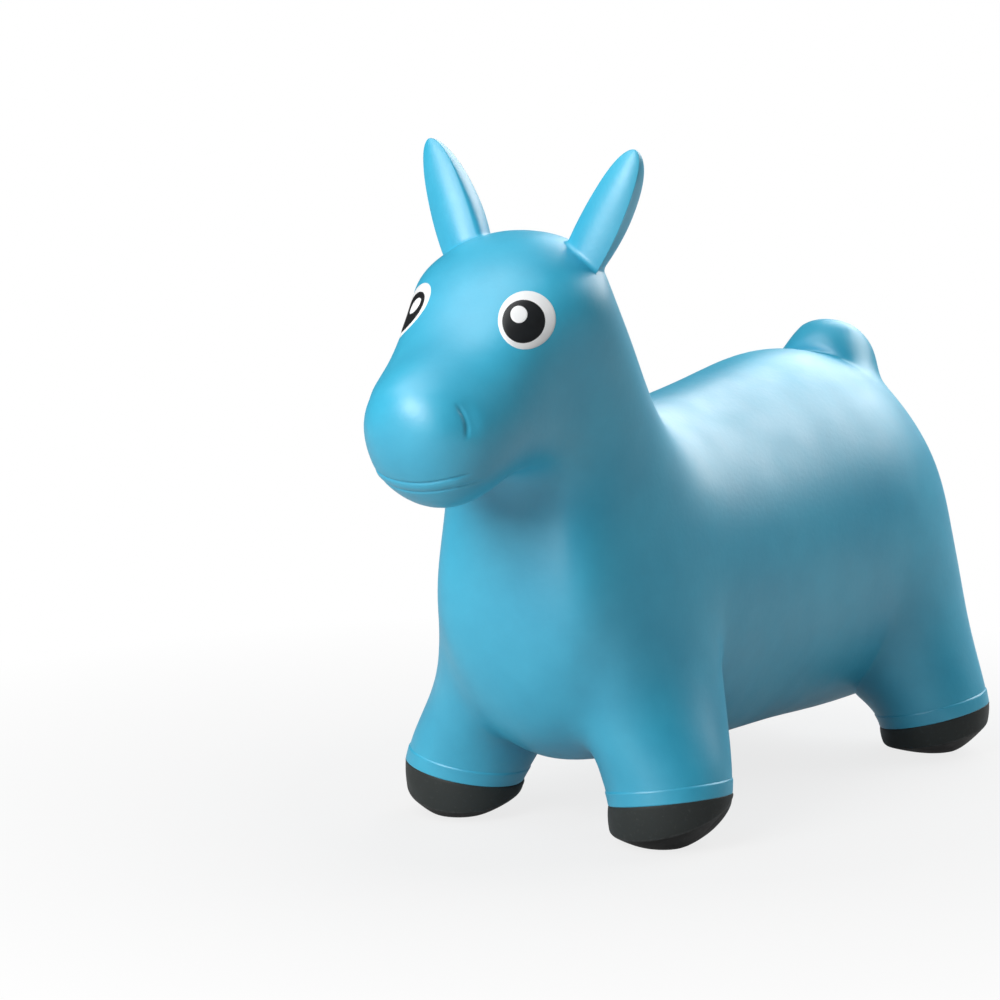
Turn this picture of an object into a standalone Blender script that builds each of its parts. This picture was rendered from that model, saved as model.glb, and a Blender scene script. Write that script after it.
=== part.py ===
"""Bouncy ride-on horse: a blown-up vinyl skin in sections, printed eyes and an air valve.

The horse faces -Y, its left side is +X and it stands on the plane z = 0. All sizes are in metres.
The skin is a thin hollow wall that follows one smooth control cage, so neighbouring sections meet
flush. Each section is that wall inside its own region, and the regions stand a seam apart.
"""

import math
from typing import NamedTuple

import bmesh
import bpy
from mathutils import Matrix, Vector


class Station(NamedTuple):
    """One cross-section of the body, square to its length."""

    y: float
    half_width: float
    underside: float
    top: float
    belly_roundness: float


class Hoop(NamedTuple):
    """One cross-section of the head, muzzle or tail, leaning about X."""

    y: float
    z: float
    half_width: float
    half_depth: float
    lean_deg: float


class LegHoop(NamedTuple):
    """One cross-section of a leg: its height, how far it sits inside the hoof, its size and tilt."""

    height: float
    inset: float
    half_width: float
    half_depth: float
    tilt_deg: float


class EarHoop(NamedTuple):
    """One cross-section of an ear: its place from root to tip and its shares of the full size."""

    share: float
    wide: float
    thick: float


# Clearances and wall
SEAM = 0.0003
WALL = 0.0025

# Stance
FRONT_LEG_Y = -0.105
WHEELBASE = 0.3565
REAR_LEG_Y = FRONT_LEG_Y + WHEELBASE
FRONT_HOOF_SPREAD = 0.088
REAR_HOOF_SPREAD = 0.102
FRONT_LEG_RAKE_DEG = -6.0
REAR_LEG_RAKE_DEG = -0.7

# Hooves and legs
HOOF_TILT_DEG = 9.8
HOOF_RADIUS = 0.0433
HOOF_HEIGHT = 0.028
HOOF_TUCK = 0.003
FRONT_HOOF_TOE = 0.0094
REAR_HOOF_TOE = -0.0015
SOLE_RADIUS = 0.017
SOLE_PRESS = 0.0008
FRONT_LEG_HOOPS = (
    LegHoop(height=0.0795, inset=0.021, half_width=0.0413, half_depth=0.0485, tilt_deg=41.0),
    LegHoop(height=0.0496, inset=0.008, half_width=0.0450, half_depth=0.0484, tilt_deg=14.0),
)
REAR_LEG_HOOPS = (
    LegHoop(height=0.0723, inset=0.021, half_width=0.0500, half_depth=0.0546, tilt_deg=42.0),
    LegHoop(height=0.0481, inset=0.011, half_width=0.0454, half_depth=0.0484, tilt_deg=20.0),
)
HOOF_HOOPS = (
    LegHoop(HOOF_HEIGHT, 0.0, HOOF_RADIUS, HOOF_RADIUS, HOOF_TILT_DEG),
    LegHoop(0.45 * HOOF_HEIGHT, 0.0, 0.965 * HOOF_RADIUS, 0.965 * HOOF_RADIUS, 0.7 * HOOF_TILT_DEG),
    LegHoop(0.22 * HOOF_HEIGHT, HOOF_TUCK, 0.69 * HOOF_RADIUS, 0.69 * HOOF_RADIUS, 0.3 * HOOF_TILT_DEG),
    LegHoop(-SOLE_PRESS, HOOF_TUCK, 1.16 * SOLE_RADIUS, 1.16 * SOLE_RADIUS, 0.0),
    LegHoop(-SOLE_PRESS, HOOF_TUCK, 0.86 * SOLE_RADIUS, 0.86 * SOLE_RADIUS, 0.0),
)
LEG_ROOT_HEIGHT = 0.095
LEG_ROOT_RADIUS = 0.060
LEG_ROOT_INSET = 0.010

# Body
LEG_HALF_SPAN = 0.055
BREAST_RISE = 0.008
RUMP_RISE = 0.008
SEAT_HEIGHT = 0.303
BELLY_HEIGHT = 0.024
BODY_HALF_WIDTH = 0.112
SHOULDER_HALF_WIDTH = 0.085
BODY_SIDES = 12
BODY = (
    Station(y=FRONT_LEG_Y - 0.077, half_width=SHOULDER_HALF_WIDTH - 0.027,
            underside=BELLY_HEIGHT + 0.089, top=SEAT_HEIGHT - 0.062, belly_roundness=1.0),
    Station(y=FRONT_LEG_Y - LEG_HALF_SPAN, half_width=SHOULDER_HALF_WIDTH - 0.0115,
            underside=BELLY_HEIGHT + 0.036, top=SEAT_HEIGHT - 0.028, belly_roundness=1.28),
    Station(y=FRONT_LEG_Y, half_width=SHOULDER_HALF_WIDTH,
            underside=BELLY_HEIGHT + 0.020, top=SEAT_HEIGHT - 0.012, belly_roundness=1.24),
    Station(y=FRONT_LEG_Y + LEG_HALF_SPAN, half_width=SHOULDER_HALF_WIDTH + 0.006,
            underside=BELLY_HEIGHT + 0.017, top=SEAT_HEIGHT - 0.011, belly_roundness=0.95),
    Station(y=FRONT_LEG_Y + 0.115, half_width=SHOULDER_HALF_WIDTH + 0.011,
            underside=BELLY_HEIGHT + 0.010, top=SEAT_HEIGHT - 0.016, belly_roundness=0.79),
    Station(y=REAR_LEG_Y - 0.1275, half_width=BODY_HALF_WIDTH - 0.0095,
            underside=BELLY_HEIGHT + 0.010, top=SEAT_HEIGHT - 0.003, belly_roundness=0.86),
    Station(y=REAR_LEG_Y - LEG_HALF_SPAN - 0.0065, half_width=BODY_HALF_WIDTH,
            underside=BELLY_HEIGHT + 0.0035, top=SEAT_HEIGHT + 0.008, belly_roundness=0.98),
    Station(y=REAR_LEG_Y - 0.008, half_width=BODY_HALF_WIDTH - 0.0035,
            underside=BELLY_HEIGHT + 0.007, top=SEAT_HEIGHT - 0.0085, belly_roundness=1.1),
    Station(y=REAR_LEG_Y + 0.038, half_width=BODY_HALF_WIDTH - 0.015,
            underside=BELLY_HEIGHT + 0.040, top=SEAT_HEIGHT - 0.035, belly_roundness=1.09),
    Station(y=REAR_LEG_Y + 0.055, half_width=BODY_HALF_WIDTH - 0.0605,
            underside=BELLY_HEIGHT + 0.091, top=SEAT_HEIGHT - 0.067, belly_roundness=1.0),
)
NECK_RINGS = (0, 3)
FRONT_LEG_RINGS = (1, 3)
REAR_LEG_RINGS = (6, 8)
TAIL_RINGS = (7, 9)
NECK_COLUMNS = (10, 11, 0, 1, 2)
TAIL_COLUMNS = (11, 0, 1)
LEG_COLUMNS = {1: (3, 4, 5), -1: (9, 8, 7)}

# Neck, head and muzzle
HEAD_RISE = 0.105
HEAD_HEIGHT = SEAT_HEIGHT + HEAD_RISE
HEAD = (
    Hoop(y=FRONT_LEG_Y - 0.0195, z=SEAT_HEIGHT - 0.0185, half_width=0.071, half_depth=0.0703, lean_deg=19.0),
    Hoop(y=FRONT_LEG_Y - 0.040, z=HEAD_HEIGHT - 0.075, half_width=0.0708, half_depth=0.064, lean_deg=15.0),
    Hoop(y=FRONT_LEG_Y - 0.0763, z=HEAD_HEIGHT - 0.0283, half_width=0.0755, half_depth=0.0628, lean_deg=9.0),
    Hoop(y=FRONT_LEG_Y - 0.0647, z=HEAD_HEIGHT - 0.0034, half_width=0.060, half_depth=0.0523, lean_deg=2.5),
)
CROWN_RISE = 0.022
CROWN_SHIFT = 0.20
MUZZLE = (
    Hoop(y=FRONT_LEG_Y - 0.131, z=HEAD_HEIGHT - 0.0957, half_width=0.0572, half_depth=0.0516, lean_deg=34.0),
    Hoop(y=FRONT_LEG_Y - 0.1704, z=HEAD_HEIGHT - 0.1168, half_width=0.0515, half_depth=0.0555, lean_deg=26.0),
    Hoop(y=FRONT_LEG_Y - 0.1945, z=HEAD_HEIGHT - 0.1216, half_width=0.032, half_depth=0.0377, lean_deg=22.0),
)
NOSE_RISE = 0.012
NECK_SEAM_Y = FRONT_LEG_Y + 0.055
NECK_SEAM_SLOPE_DEG = 18.0

# Ears
EAR_ROOT = (0.045, FRONT_LEG_Y - 0.044, HEAD_HEIGHT - 0.007)
EAR_TIP = (0.085, FRONT_LEG_Y - 0.037, HEAD_HEIGHT + 0.0755)
EAR_HALF_WIDTH = 0.0200
EAR_HALF_THICKNESS = 0.0185
EAR_HOOPS = (
    EarHoop(share=0.17, wide=0.83, thick=0.83),
    EarHoop(share=0.45, wide=1.04, thick=0.97),
    EarHoop(share=0.75, wide=0.81, thick=0.78),
    EarHoop(share=1.00, wide=0.29, thick=0.27),
)
EAR_CELLS = {1: (1, 3), -1: (1, 0)}
EAR_JOINT_RADIUS = 0.027
EAR_JOINT_SHARE = 0.55

# Tail
TAIL = (
    Hoop(y=REAR_LEG_Y + 0.010, z=SEAT_HEIGHT - 0.0193, half_width=0.0383, half_depth=0.0404, lean_deg=-27.0),
    Hoop(y=REAR_LEG_Y + 0.0265, z=SEAT_HEIGHT + 0.0055, half_width=0.030, half_depth=0.0285, lean_deg=-40.0),
)
TAIL_RISE = 0.010
TAIL_SEAM_RADIUS = 0.050
TAIL_SEAM_DROP = 0.002

# Printed eyes
EYE_DROP = 0.0355
EYE_AIM_Y = FRONT_LEG_Y - 0.0525
EYE_YAW_DEG = 34.0
EYE_RADIUS = 0.0197
PUPIL_RADIUS = 0.0142
PUPIL_SHIFT = (-0.0016, -0.0012)
GLINT_RADIUS = 0.0061
GLINT_SHIFT = (-0.0046, 0.0034)
PRINT_THICKNESS = 0.0006
PRINT_SIDES = 32

# Air valve
VALVE_DROP = 0.128
VALVE_BORE_RADIUS = 0.0042
VALVE_COLLAR_RADIUS = 0.0090
VALVE_FLANGE_RADIUS = 0.0125
VALVE_FLANGE_THICKNESS = 0.0022
VALVE_COLLAR_DEPTH = 0.0120
VALVE_FLANGE_SETBACK = 0.0016
PLUG_HEAD_RADIUS = 0.0075
PLUG_HEAD_THICKNESS = 0.0024
PLUG_TIP_RADIUS = 0.0026
PLUG_LENGTH = 0.0150
PLUG_FIT = 0.00005
VALVE_SIDES = 40

# Smoothness and guide sizes
FORM_LEVEL = 1
RELAX_COUNT = 2
GUIDE_REACH = 0.9
CUT_SIDES = 48

# Finishes: base colour, roughness
BLUE = ((0.090, 0.420, 0.620), 0.42)
HOOF_PAINT = ((0.030, 0.034, 0.033), 0.55)
EYE_WHITE = ((0.860, 0.870, 0.870), 0.40)
EYE_BLACK = ((0.010, 0.011, 0.012), 0.35)
VALVE_WHITE = ((0.780, 0.790, 0.780), 0.45)


class Cage:
    """Control mesh of the moulded form: points, and faces that name them."""

    def __init__(self):
        self.points = []
        self.faces = []

    def add(self, place):
        """Add one point and give its number."""
        self.points.append(Vector(place))
        return len(self.points) - 1

    def bridge(self, ring_a, ring_b):
        """Join two rings of the same count with quads."""
        count = len(ring_a)
        for here in range(count):
            there = (here + 1) % count
            self.faces.append((ring_a[here], ring_a[there], ring_b[there], ring_b[here]))

    def drop(self, cells):
        """Take out the faces whose corner points are among the given sets."""
        self.faces = [face for face in self.faces if frozenset(face) not in cells]

    def grow(self, patch, frames, rise, gaps=(), shift=0.0):
        """Draw a rectangular patch of points out through hoop frames and close its end.

        gaps names the cells of the end that are left open, for another part to grow from.
        """
        rim = rim_cells(patch)
        ring = [patch[row][column] for row, column in rim]
        rings = [ring]
        columns = len(patch[0]) - 1
        for frame in frames:
            ring_next = [self.add(point) for point in frame_ring(frame, len(rim), columns)]
            self.bridge(rings[-1], ring_next)
            rings.append(ring_next)
        outward = frames[-1][0] - frames[-2][0]
        end = self.close(patch, rim, rings[-1], frames[-1], outward, rise, gaps, shift)
        return rings, end

    def close(self, patch, rim, ring, frame, outward, rise, gaps, shift):
        """Close the end of a grown part with a low dome of quads."""
        rows = len(patch) - 1
        columns = len(patch[0]) - 1
        centre, across, along = frame
        normal = along.cross(across).normalized()
        if normal.dot(outward) < 0.0:
            normal.negate()
        end = [[None] * (columns + 1) for _ in range(rows + 1)]
        for (row, column), point in zip(rim, ring):
            end[row][column] = point
        for row in range(1, rows):
            for column in range(1, columns):
                share_u = 2.0 * row / rows - 1.0
                share_v = 2.0 * column / columns - 1.0
                lift = rise * (1.0 - 0.5 * (share_u ** 2 + share_v ** 2))
                place = centre + along * (share_u + shift) + across * share_v + normal * lift
                end[row][column] = self.add(place)
        for row in range(rows):
            for column in range(columns):
                if (row, column) in gaps:
                    continue
                self.faces.append((end[row][column], end[row][column + 1],
                                   end[row + 1][column + 1], end[row + 1][column]))
        return end


def rim_cells(patch):
    """Rows and columns of a patch's edge, once round."""
    last_row = len(patch) - 1
    last_column = len(patch[0]) - 1
    cells = [(0, column) for column in range(last_column + 1)]
    cells += [(row, last_column) for row in range(1, last_row + 1)]
    cells += [(last_row, column) for column in range(last_column - 1, -1, -1)]
    cells += [(row, 0) for row in range(last_row - 1, 0, -1)]
    return cells


def swell(count):
    """How much larger a ring of control points is than the round that it draws."""
    return 3.0 / (2.0 + math.cos(2.0 * math.pi / count))


def frame_ring(frame, count, columns):
    """Points of one hoop: across is its half width, along its half depth."""
    centre, across, along = frame
    grow = swell(count)
    points = []
    for step in range(count):
        turn = 2.0 * math.pi * (step - columns / 2.0) / count
        points.append(centre + grow * (across * math.sin(turn) - along * math.cos(turn)))
    return points


def body_rings(cage):
    """Rings of the body, from the breast to the rump; point 0 of each is its top."""
    rings = []
    grow = swell(BODY_SIDES)
    for station in BODY:
        middle = 0.5 * (station.underside + station.top)
        half_height = 0.5 * (station.top - station.underside) * grow
        ring = []
        for step in range(BODY_SIDES):
            turn = 2.0 * math.pi * step / BODY_SIDES
            reach = math.sin(turn)
            if math.cos(turn) < 0.0:
                reach = math.copysign(abs(reach) ** station.belly_roundness, reach)
            x = station.half_width * grow * reach
            ring.append(cage.add((x, station.y, middle + half_height * math.cos(turn))))
        rings.append(ring)
    return rings


def patch_of(rings, span, columns):
    """Points of a patch of the body: a span of rings by some columns."""
    return [[rings[row][column] for column in columns] for row in range(span[0], span[1] + 1)]


def patch_cells(patch):
    """Corner points of each cell of a patch, as sets."""
    return {frozenset((patch[row][column], patch[row][column + 1],
                       patch[row + 1][column + 1], patch[row + 1][column]))
            for row in range(len(patch) - 1) for column in range(len(patch[0]) - 1)}


def level_frame(hoop):
    """Centre and half axes of a hoop that lies nearly level."""
    lean = math.radians(hoop.lean_deg)
    along = Vector((0.0, math.cos(lean), math.sin(lean))) * hoop.half_depth
    return Vector((0.0, hoop.y, hoop.z)), Vector((hoop.half_width, 0.0, 0.0)), along


def upright_frame(hoop):
    """Centre and half axes of a hoop that stands nearly upright."""
    lean = math.radians(hoop.lean_deg)
    along = Vector((0.0, math.sin(lean), -math.cos(lean))) * hoop.half_depth
    return Vector((0.0, hoop.y, hoop.z)), Vector((hoop.half_width, 0.0, 0.0)), along


class Leg(NamedTuple):
    """Where one leg stands: its side is +1 on the left."""

    name: str
    side: int
    span: tuple
    spread: float
    y: float
    rake_deg: float
    toe: float
    hoops: tuple

    def normal(self, tilt_deg):
        """Upward direction of the leg where its hoops tilt so far."""
        share = min(tilt_deg / HOOF_TILT_DEG, 1.0)
        rake = math.tan(math.radians(self.rake_deg))
        return Vector((-self.side * math.tan(math.radians(tilt_deg)), -rake * share, 1.0)).normalized()

    def hoof_top(self):
        """Centre of the hoof's upper edge."""
        return Vector((self.side * self.spread, self.y, HOOF_HEIGHT))

    def frames(self):
        """Hoops of the leg from its hip to its sole."""
        rake = math.tan(math.radians(self.rake_deg))
        frames = []
        for hoop in (*self.hoops, *HOOF_HOOPS):
            lean = rake * max(hoop.height - HOOF_HEIGHT, 0.0)
            y = self.y - lean - self.toe * max(1.0 - hoop.height / HOOF_HEIGHT, 0.0)
            centre = Vector((self.side * (self.spread - hoop.inset), y, hoop.height))
            normal = self.normal(hoop.tilt_deg)
            frames.append((centre, flatten(Vector((-self.side, 0.0, 0.0)), normal) * hoop.half_width,
                           flatten(Vector((0.0, 1.0, 0.0)), normal) * hoop.half_depth))
        return frames


LEGS = tuple(Leg(f"{end}_{hand}_", side, *stance)
             for end, stance in (
                 ("front", (FRONT_LEG_RINGS, FRONT_HOOF_SPREAD, FRONT_LEG_Y, FRONT_LEG_RAKE_DEG,
                            FRONT_HOOF_TOE, FRONT_LEG_HOOPS)),
                 ("rear", (REAR_LEG_RINGS, REAR_HOOF_SPREAD, REAR_LEG_Y, REAR_LEG_RAKE_DEG,
                           REAR_HOOF_TOE, REAR_LEG_HOOPS)))
             for hand, side in (("left", 1), ("right", -1)))


def flatten(direction, normal):
    """Unit direction in the plane square to normal."""
    return (direction - normal * direction.dot(normal)).normalized()


def ear_axes(side):
    """Root, tip and the directions along, across and through one ear."""
    root = Vector((side * EAR_ROOT[0], EAR_ROOT[1], EAR_ROOT[2]))
    tip = Vector((side * EAR_TIP[0], EAR_TIP[1], EAR_TIP[2]))
    axis = (tip - root).normalized()
    across = flatten(Vector((1.0, 0.0, 0.0)), axis)
    return root, tip, axis, across, axis.cross(across)


def ear_frames(side):
    """Hoops of one ear from its root to its tip."""
    root, tip, _, across, through = ear_axes(side)
    return [(root.lerp(tip, hoop.share), across * EAR_HALF_WIDTH * hoop.wide,
             through * EAR_HALF_THICKNESS * hoop.thick) for hoop in EAR_HOOPS]


def close_body(cage, ring, station, rise):
    """Close one end of the body with a low dome of quads."""
    sides = ((10, 11, 0, 1, 2), (9, None, None, None, 3), (8, 7, 6, 5, 4))
    patch = [[None if column is None else ring[column] for column in row] for row in sides]
    rim = rim_cells(patch)
    loop = [patch[row][column] for row, column in rim]
    middle = Vector((0.0, station.y, 0.5 * (station.underside + station.top)))
    across = Vector((station.half_width, 0.0, 0.0))
    along = Vector((0.0, 0.0, -0.5 * (station.top - station.underside)))
    cage.close(patch, rim, loop, (middle, across, along), Vector((0.0, rise, 0.0)), abs(rise), (), 0.0)


def moulded_cage():
    """The control cage of the whole outer form."""
    cage = Cage()
    rings = body_rings(cage)
    neck = patch_of(rings, NECK_RINGS, NECK_COLUMNS)
    tail = patch_of(rings, TAIL_RINGS, TAIL_COLUMNS)
    legs = [patch_of(rings, leg.span, LEG_COLUMNS[leg.side]) for leg in LEGS]
    for row in range(len(rings) - 1):
        cage.bridge(rings[row], rings[row + 1])
    grown = set().union(*(patch_cells(patch) for patch in (neck, tail, *legs)))
    cage.drop(grown)
    close_body(cage, rings[0], BODY[0], -BREAST_RISE)
    close_body(cage, rings[-1], BODY[-1], RUMP_RISE)
    for leg, patch in zip(LEGS, legs):
        cage.grow(patch, leg.frames(), 0.0)
    cage.grow(tail, [level_frame(hoop) for hoop in TAIL], TAIL_RISE)

    head_frames = [level_frame(hoop) for hoop in HEAD]
    head_rings, crown = cage.grow(neck, head_frames, CROWN_RISE, EAR_CELLS.values(), CROWN_SHIFT)
    muzzle = [ring[:len(NECK_COLUMNS)] for ring in reversed(head_rings[1:4])]
    cage.drop(patch_cells(muzzle))
    cage.grow(muzzle, [upright_frame(hoop) for hoop in MUZZLE], NOSE_RISE)
    for side, (row, column) in EAR_CELLS.items():
        patch = [line[column:column + 2] for line in crown[row:row + 2]]
        cage.grow(patch, ear_frames(side), 0.0)
    return cage


def cage_mesh(name):
    """The cage as a mesh with its faces pointing out."""
    cage = moulded_cage()
    mesh = bpy.data.meshes.new(name)
    mesh.from_pydata([tuple(point) for point in cage.points], [], cage.faces)
    work = bmesh.new()
    work.from_mesh(mesh)
    bmesh.ops.delete(work, geom=[vert for vert in work.verts if not vert.link_faces], context="VERTS")
    bmesh.ops.recalc_face_normals(work, faces=work.faces)
    work.to_mesh(mesh)
    work.free()
    mesh.shade_smooth()
    return mesh


def link(name, mesh, parent=None, place=(0.0, 0.0, 0.0)):
    """Add an object for a mesh given in world places, with its origin at place."""
    origin = Vector(place)
    if mesh is not None:
        mesh.transform(Matrix.Translation(-origin))
    item = bpy.data.objects.new(name, mesh)
    bpy.context.collection.objects.link(item)
    item.location = origin
    if parent is not None:
        item.parent = parent
        item.location = origin - world_place(parent)
    return item


def world_place(item):
    """World place of an object that is only moved, through its parents."""
    place = item.location.copy()
    while item.parent is not None:
        item = item.parent
        place += item.location
    return place


def guide(item):
    """Keep an object as a guide only: outlined, and out of the finished part."""
    item.hide_render = True
    item.display_type = "WIRE"
    return item


def soften(item, offset=0.0):
    """Round a cage into the moulded form, and move its surface out by offset."""
    rounding = item.modifiers.new("rounding", "SUBSURF")
    rounding.levels = FORM_LEVEL
    rounding.render_levels = FORM_LEVEL
    relax = item.modifiers.new("relax", "SMOOTH")
    relax.factor = 0.5
    relax.iterations = RELAX_COUNT
    facets = item.modifiers.new("facets", "TRIANGULATE")
    facets.quad_method = "FIXED"
    if offset:
        shift = item.modifiers.new("offset", "DISPLACE")
        shift.mid_level = 0.0
        shift.strength = offset
    return item


def cut(item, operation, cutter):
    """Intersect an object with a cutter, or take the cutter away from it."""
    step = item.modifiers.new(f"{operation.lower()} {cutter.name}", "BOOLEAN")
    step.operation = operation
    step.solver = "EXACT"
    step.object = cutter


def keep(item, *cutters):
    """Leave only what lies inside each of the cutters."""
    for cutter in cutters:
        cut(item, "INTERSECT", cutter)


def remove(item, *cutters):
    """Take each of the cutters away."""
    for cutter in cutters:
        cut(item, "DIFFERENCE", cutter)


def frame_matrix(place, axis):
    """Frame at place whose Z runs along axis, and whose X stays level."""
    z = Vector(axis).normalized()
    level = Vector((0.0, 0.0, 1.0)).cross(z)
    x = level.normalized() if level.length > 0.001 else Vector((1.0, 0.0, 0.0))
    y = z.cross(x)
    return Matrix.Translation(place) @ Matrix((x, y, z)).transposed().to_4x4()


def block(name, place, axis, reach):
    """Guide block that starts at place and fills everything along axis."""
    work = bmesh.new()
    middle = Matrix.Translation((0.0, 0.0, 0.5 * reach))
    bmesh.ops.create_cube(work, size=reach, matrix=frame_matrix(place, axis) @ middle)
    return guide(link(name, mesh_of(name, work)))


def drum(name, place, axis, radius, reach, sides=CUT_SIDES):
    """Guide cylinder that starts at place and runs along axis."""
    work = bmesh.new()
    middle = Matrix.Translation((0.0, 0.0, 0.5 * reach))
    bmesh.ops.create_cone(work, cap_ends=True, segments=sides, radius1=radius, radius2=radius,
                          depth=reach, matrix=frame_matrix(place, axis) @ middle)
    return guide(link(name, mesh_of(name, work)))


def ball(name, place, radius):
    """Guide ball."""
    work = bmesh.new()
    bmesh.ops.create_icosphere(work, subdivisions=4, radius=radius, matrix=Matrix.Translation(place))
    return guide(link(name, mesh_of(name, work)))


def mesh_of(name, work):
    """Mesh of a finished bmesh with its faces pointing out."""
    bmesh.ops.recalc_face_normals(work, faces=work.faces)
    mesh = bpy.data.meshes.new(name)
    work.to_mesh(mesh)
    work.free()
    return mesh


def turned(name, profile, place, axis):
    """Mesh of a round piece: its (radius, height) profile turned about axis from place."""
    work = bmesh.new()
    frame = frame_matrix(place, axis)
    ring = [work.verts.new(frame @ Vector((radius, 0.0, height))) for radius, height in profile]
    edges = [work.edges.new((ring[step], ring[step - 1])) for step in range(len(ring))]
    if profile[0][0] == 0.0 and profile[-1][0] == 0.0:
        work.edges.remove(edges[0])
    centre = Vector(place)
    bmesh.ops.spin(work, geom=work.verts[:] + work.edges[:], cent=centre, axis=Vector(axis),
                   angle=2.0 * math.pi, steps=VALVE_SIDES, use_merge=True, use_duplicate=False)
    bmesh.ops.remove_doubles(work, verts=work.verts, dist=0.00001)
    mesh = mesh_of(name, work)
    mesh.shade_smooth()
    return mesh


def paint(item, name, finish):
    """Give an object its own surface."""
    colour, roughness = finish
    surface = bpy.data.materials.new(name)
    surface.use_nodes = True
    shader = surface.node_tree.nodes["Principled BSDF"]
    shader.inputs["Base Color"].default_value = (*colour, 1.0)
    shader.inputs["Roughness"].default_value = roughness
    item.data.materials.clear()
    item.data.materials.append(surface)


class Horse:
    """The horse: guides for its form and regions, then its sections, eyes and valve."""

    def __init__(self):
        self.bounce = link("bounce", None, place=(0.0, 0.0, LEG_ROOT_HEIGHT))
        self.form = guide(soften(link("form", cage_mesh("form"))))
        self.cavity = guide(soften(link("cavity", cage_mesh("cavity")), -WALL))
        self.floor = block("floor", (0.0, 0.0, 0.0), (0.0, 0.0, 1.0), GUIDE_REACH)

    def skin(self, name, parent=None, place=(0.0, 0.0, 0.0)):
        """A new section of the skin, still the whole solid form."""
        return soften(link(name, cage_mesh(name), parent, place))

    def hoof_block(self, leg, gap):
        """Guide below the upper edge of one hoof, raised by gap."""
        normal = leg.normal(HOOF_TILT_DEG)
        name = f"{leg.name}hoof_region_{'wide' if gap else 'near'}"
        return drum(name, leg.hoof_top() + normal * gap, -normal, 1.6 * HOOF_RADIUS, 3.0 * HOOF_HEIGHT)

    def leg_drum(self, leg, gap):
        """Guide round one leg, wider by gap."""
        name = f"{leg.name}leg_region_{'wide' if gap else 'near'}"
        place = (leg.side * (leg.spread - LEG_ROOT_INSET), leg.y, LEG_ROOT_HEIGHT + gap)
        return drum(name, place, (0.0, 0.0, -1.0), LEG_ROOT_RADIUS + gap, 2.0 * LEG_ROOT_HEIGHT)

    def build_legs(self):
        """Hooves and legs; gives the guides that clear them."""
        clear = []
        for leg in LEGS:
            hoof = self.skin(f"{leg.name}hoof")
            keep(hoof, self.hoof_block(leg, 0.0), self.floor)
            remove(hoof, self.cavity)
            paint(hoof, f"{leg.name}hoof_paint", HOOF_PAINT)
            stump = self.skin(f"{leg.name}leg")
            keep(stump, self.leg_drum(leg, 0.0))
            remove(stump, self.hoof_block(leg, SEAM), self.cavity)
            paint(stump, f"{leg.name}leg_vinyl", BLUE)
            clear.append(self.leg_drum(leg, SEAM))
        return clear

    def neck_block(self, gap):
        """Guide above the seam of the neck, lowered by gap."""
        slope = math.radians(NECK_SEAM_SLOPE_DEG)
        normal = Vector((0.0, -math.sin(slope), math.cos(slope)))
        place = Vector((0.0, NECK_SEAM_Y, SEAT_HEIGHT)) - normal * gap
        return block(f"neck_region_{'wide' if gap else 'near'}", place, normal, GUIDE_REACH)

    def tail_drum(self, gap):
        """Guide round the tail, wider and lower by gap."""
        low = Vector((0.0, TAIL[0].y, TAIL[0].z))
        axis = (Vector((0.0, TAIL[1].y, TAIL[1].z)) - low).normalized()
        place = low - axis * (TAIL_SEAM_DROP + gap)
        return drum(f"tail_region_{'wide' if gap else 'near'}", place, axis, TAIL_SEAM_RADIUS + gap,
                    GUIDE_REACH * 0.2)

    def ear_guide(self, side, hand, gap):
        """Guide round one ear, hollowed by a ball so that the ear can turn at its root."""
        root, tip, axis, _, _ = ear_axes(side)
        kind = "wide" if gap else "near"
        rise = EAR_JOINT_RADIUS * EAR_JOINT_SHARE
        drum_item = drum(f"{hand}_ear_region_{kind}", root + axis * (rise - gap), axis,
                         2.0 * EAR_JOINT_RADIUS, 2.0 * (tip - root).length)
        remove(drum_item, ball(f"{hand}_ear_joint_{kind}", root, EAR_JOINT_RADIUS - gap))
        return drum_item

    def build_head(self):
        """Head and ears."""
        head = self.skin("head", self.bounce)
        keep(head, self.neck_block(0.0))
        for side, hand in ((1, "left"), (-1, "right")):
            remove(head, self.ear_guide(side, hand, SEAM))
            pivot = link(f"{hand}_ear_pivot", None, self.bounce, ear_axes(side)[0])
            ear = self.skin(f"{hand}_ear", pivot, ear_axes(side)[0])
            keep(ear, self.ear_guide(side, hand, 0.0))
            remove(ear, self.cavity)
            paint(ear, f"{hand}_ear_vinyl", BLUE)
        remove(head, self.cavity)
        paint(head, "head_vinyl", BLUE)

    def build_barrel(self, leg_guides):
        """Barrel and tail, and the valve in the rump."""
        tail = self.skin("tail", self.bounce)
        keep(tail, self.tail_drum(0.0))
        remove(tail, self.cavity)
        paint(tail, "tail_vinyl", BLUE)
        barrel = self.skin("barrel", self.bounce)
        remove(barrel, self.neck_block(SEAM), self.tail_drum(SEAM), *leg_guides, self.cavity)
        hole_place, back = self.valve_place()
        remove(barrel, drum("valve_hole", hole_place + back * WALL * 4.0, -back,
                            VALVE_COLLAR_RADIUS + SEAM, WALL * 8.0))
        paint(barrel, "barrel_vinyl", BLUE)
        self.build_valve(hole_place, back)

    def surface_at(self, start, direction):
        """Place where a line from inside leaves the form."""
        shape = self.form.evaluated_get(bpy.context.evaluated_depsgraph_get())
        hit, place, _, _ = shape.ray_cast(Vector(start), Vector(direction))
        if not hit:
            raise ValueError("the line misses the form")
        return place

    def valve_place(self):
        """Place of the valve on the rump and its outward direction."""
        back = Vector((0.0, 1.0, 0.0))
        return self.surface_at((0.0, REAR_LEG_Y, SEAT_HEIGHT - VALVE_DROP), back), back

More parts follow.
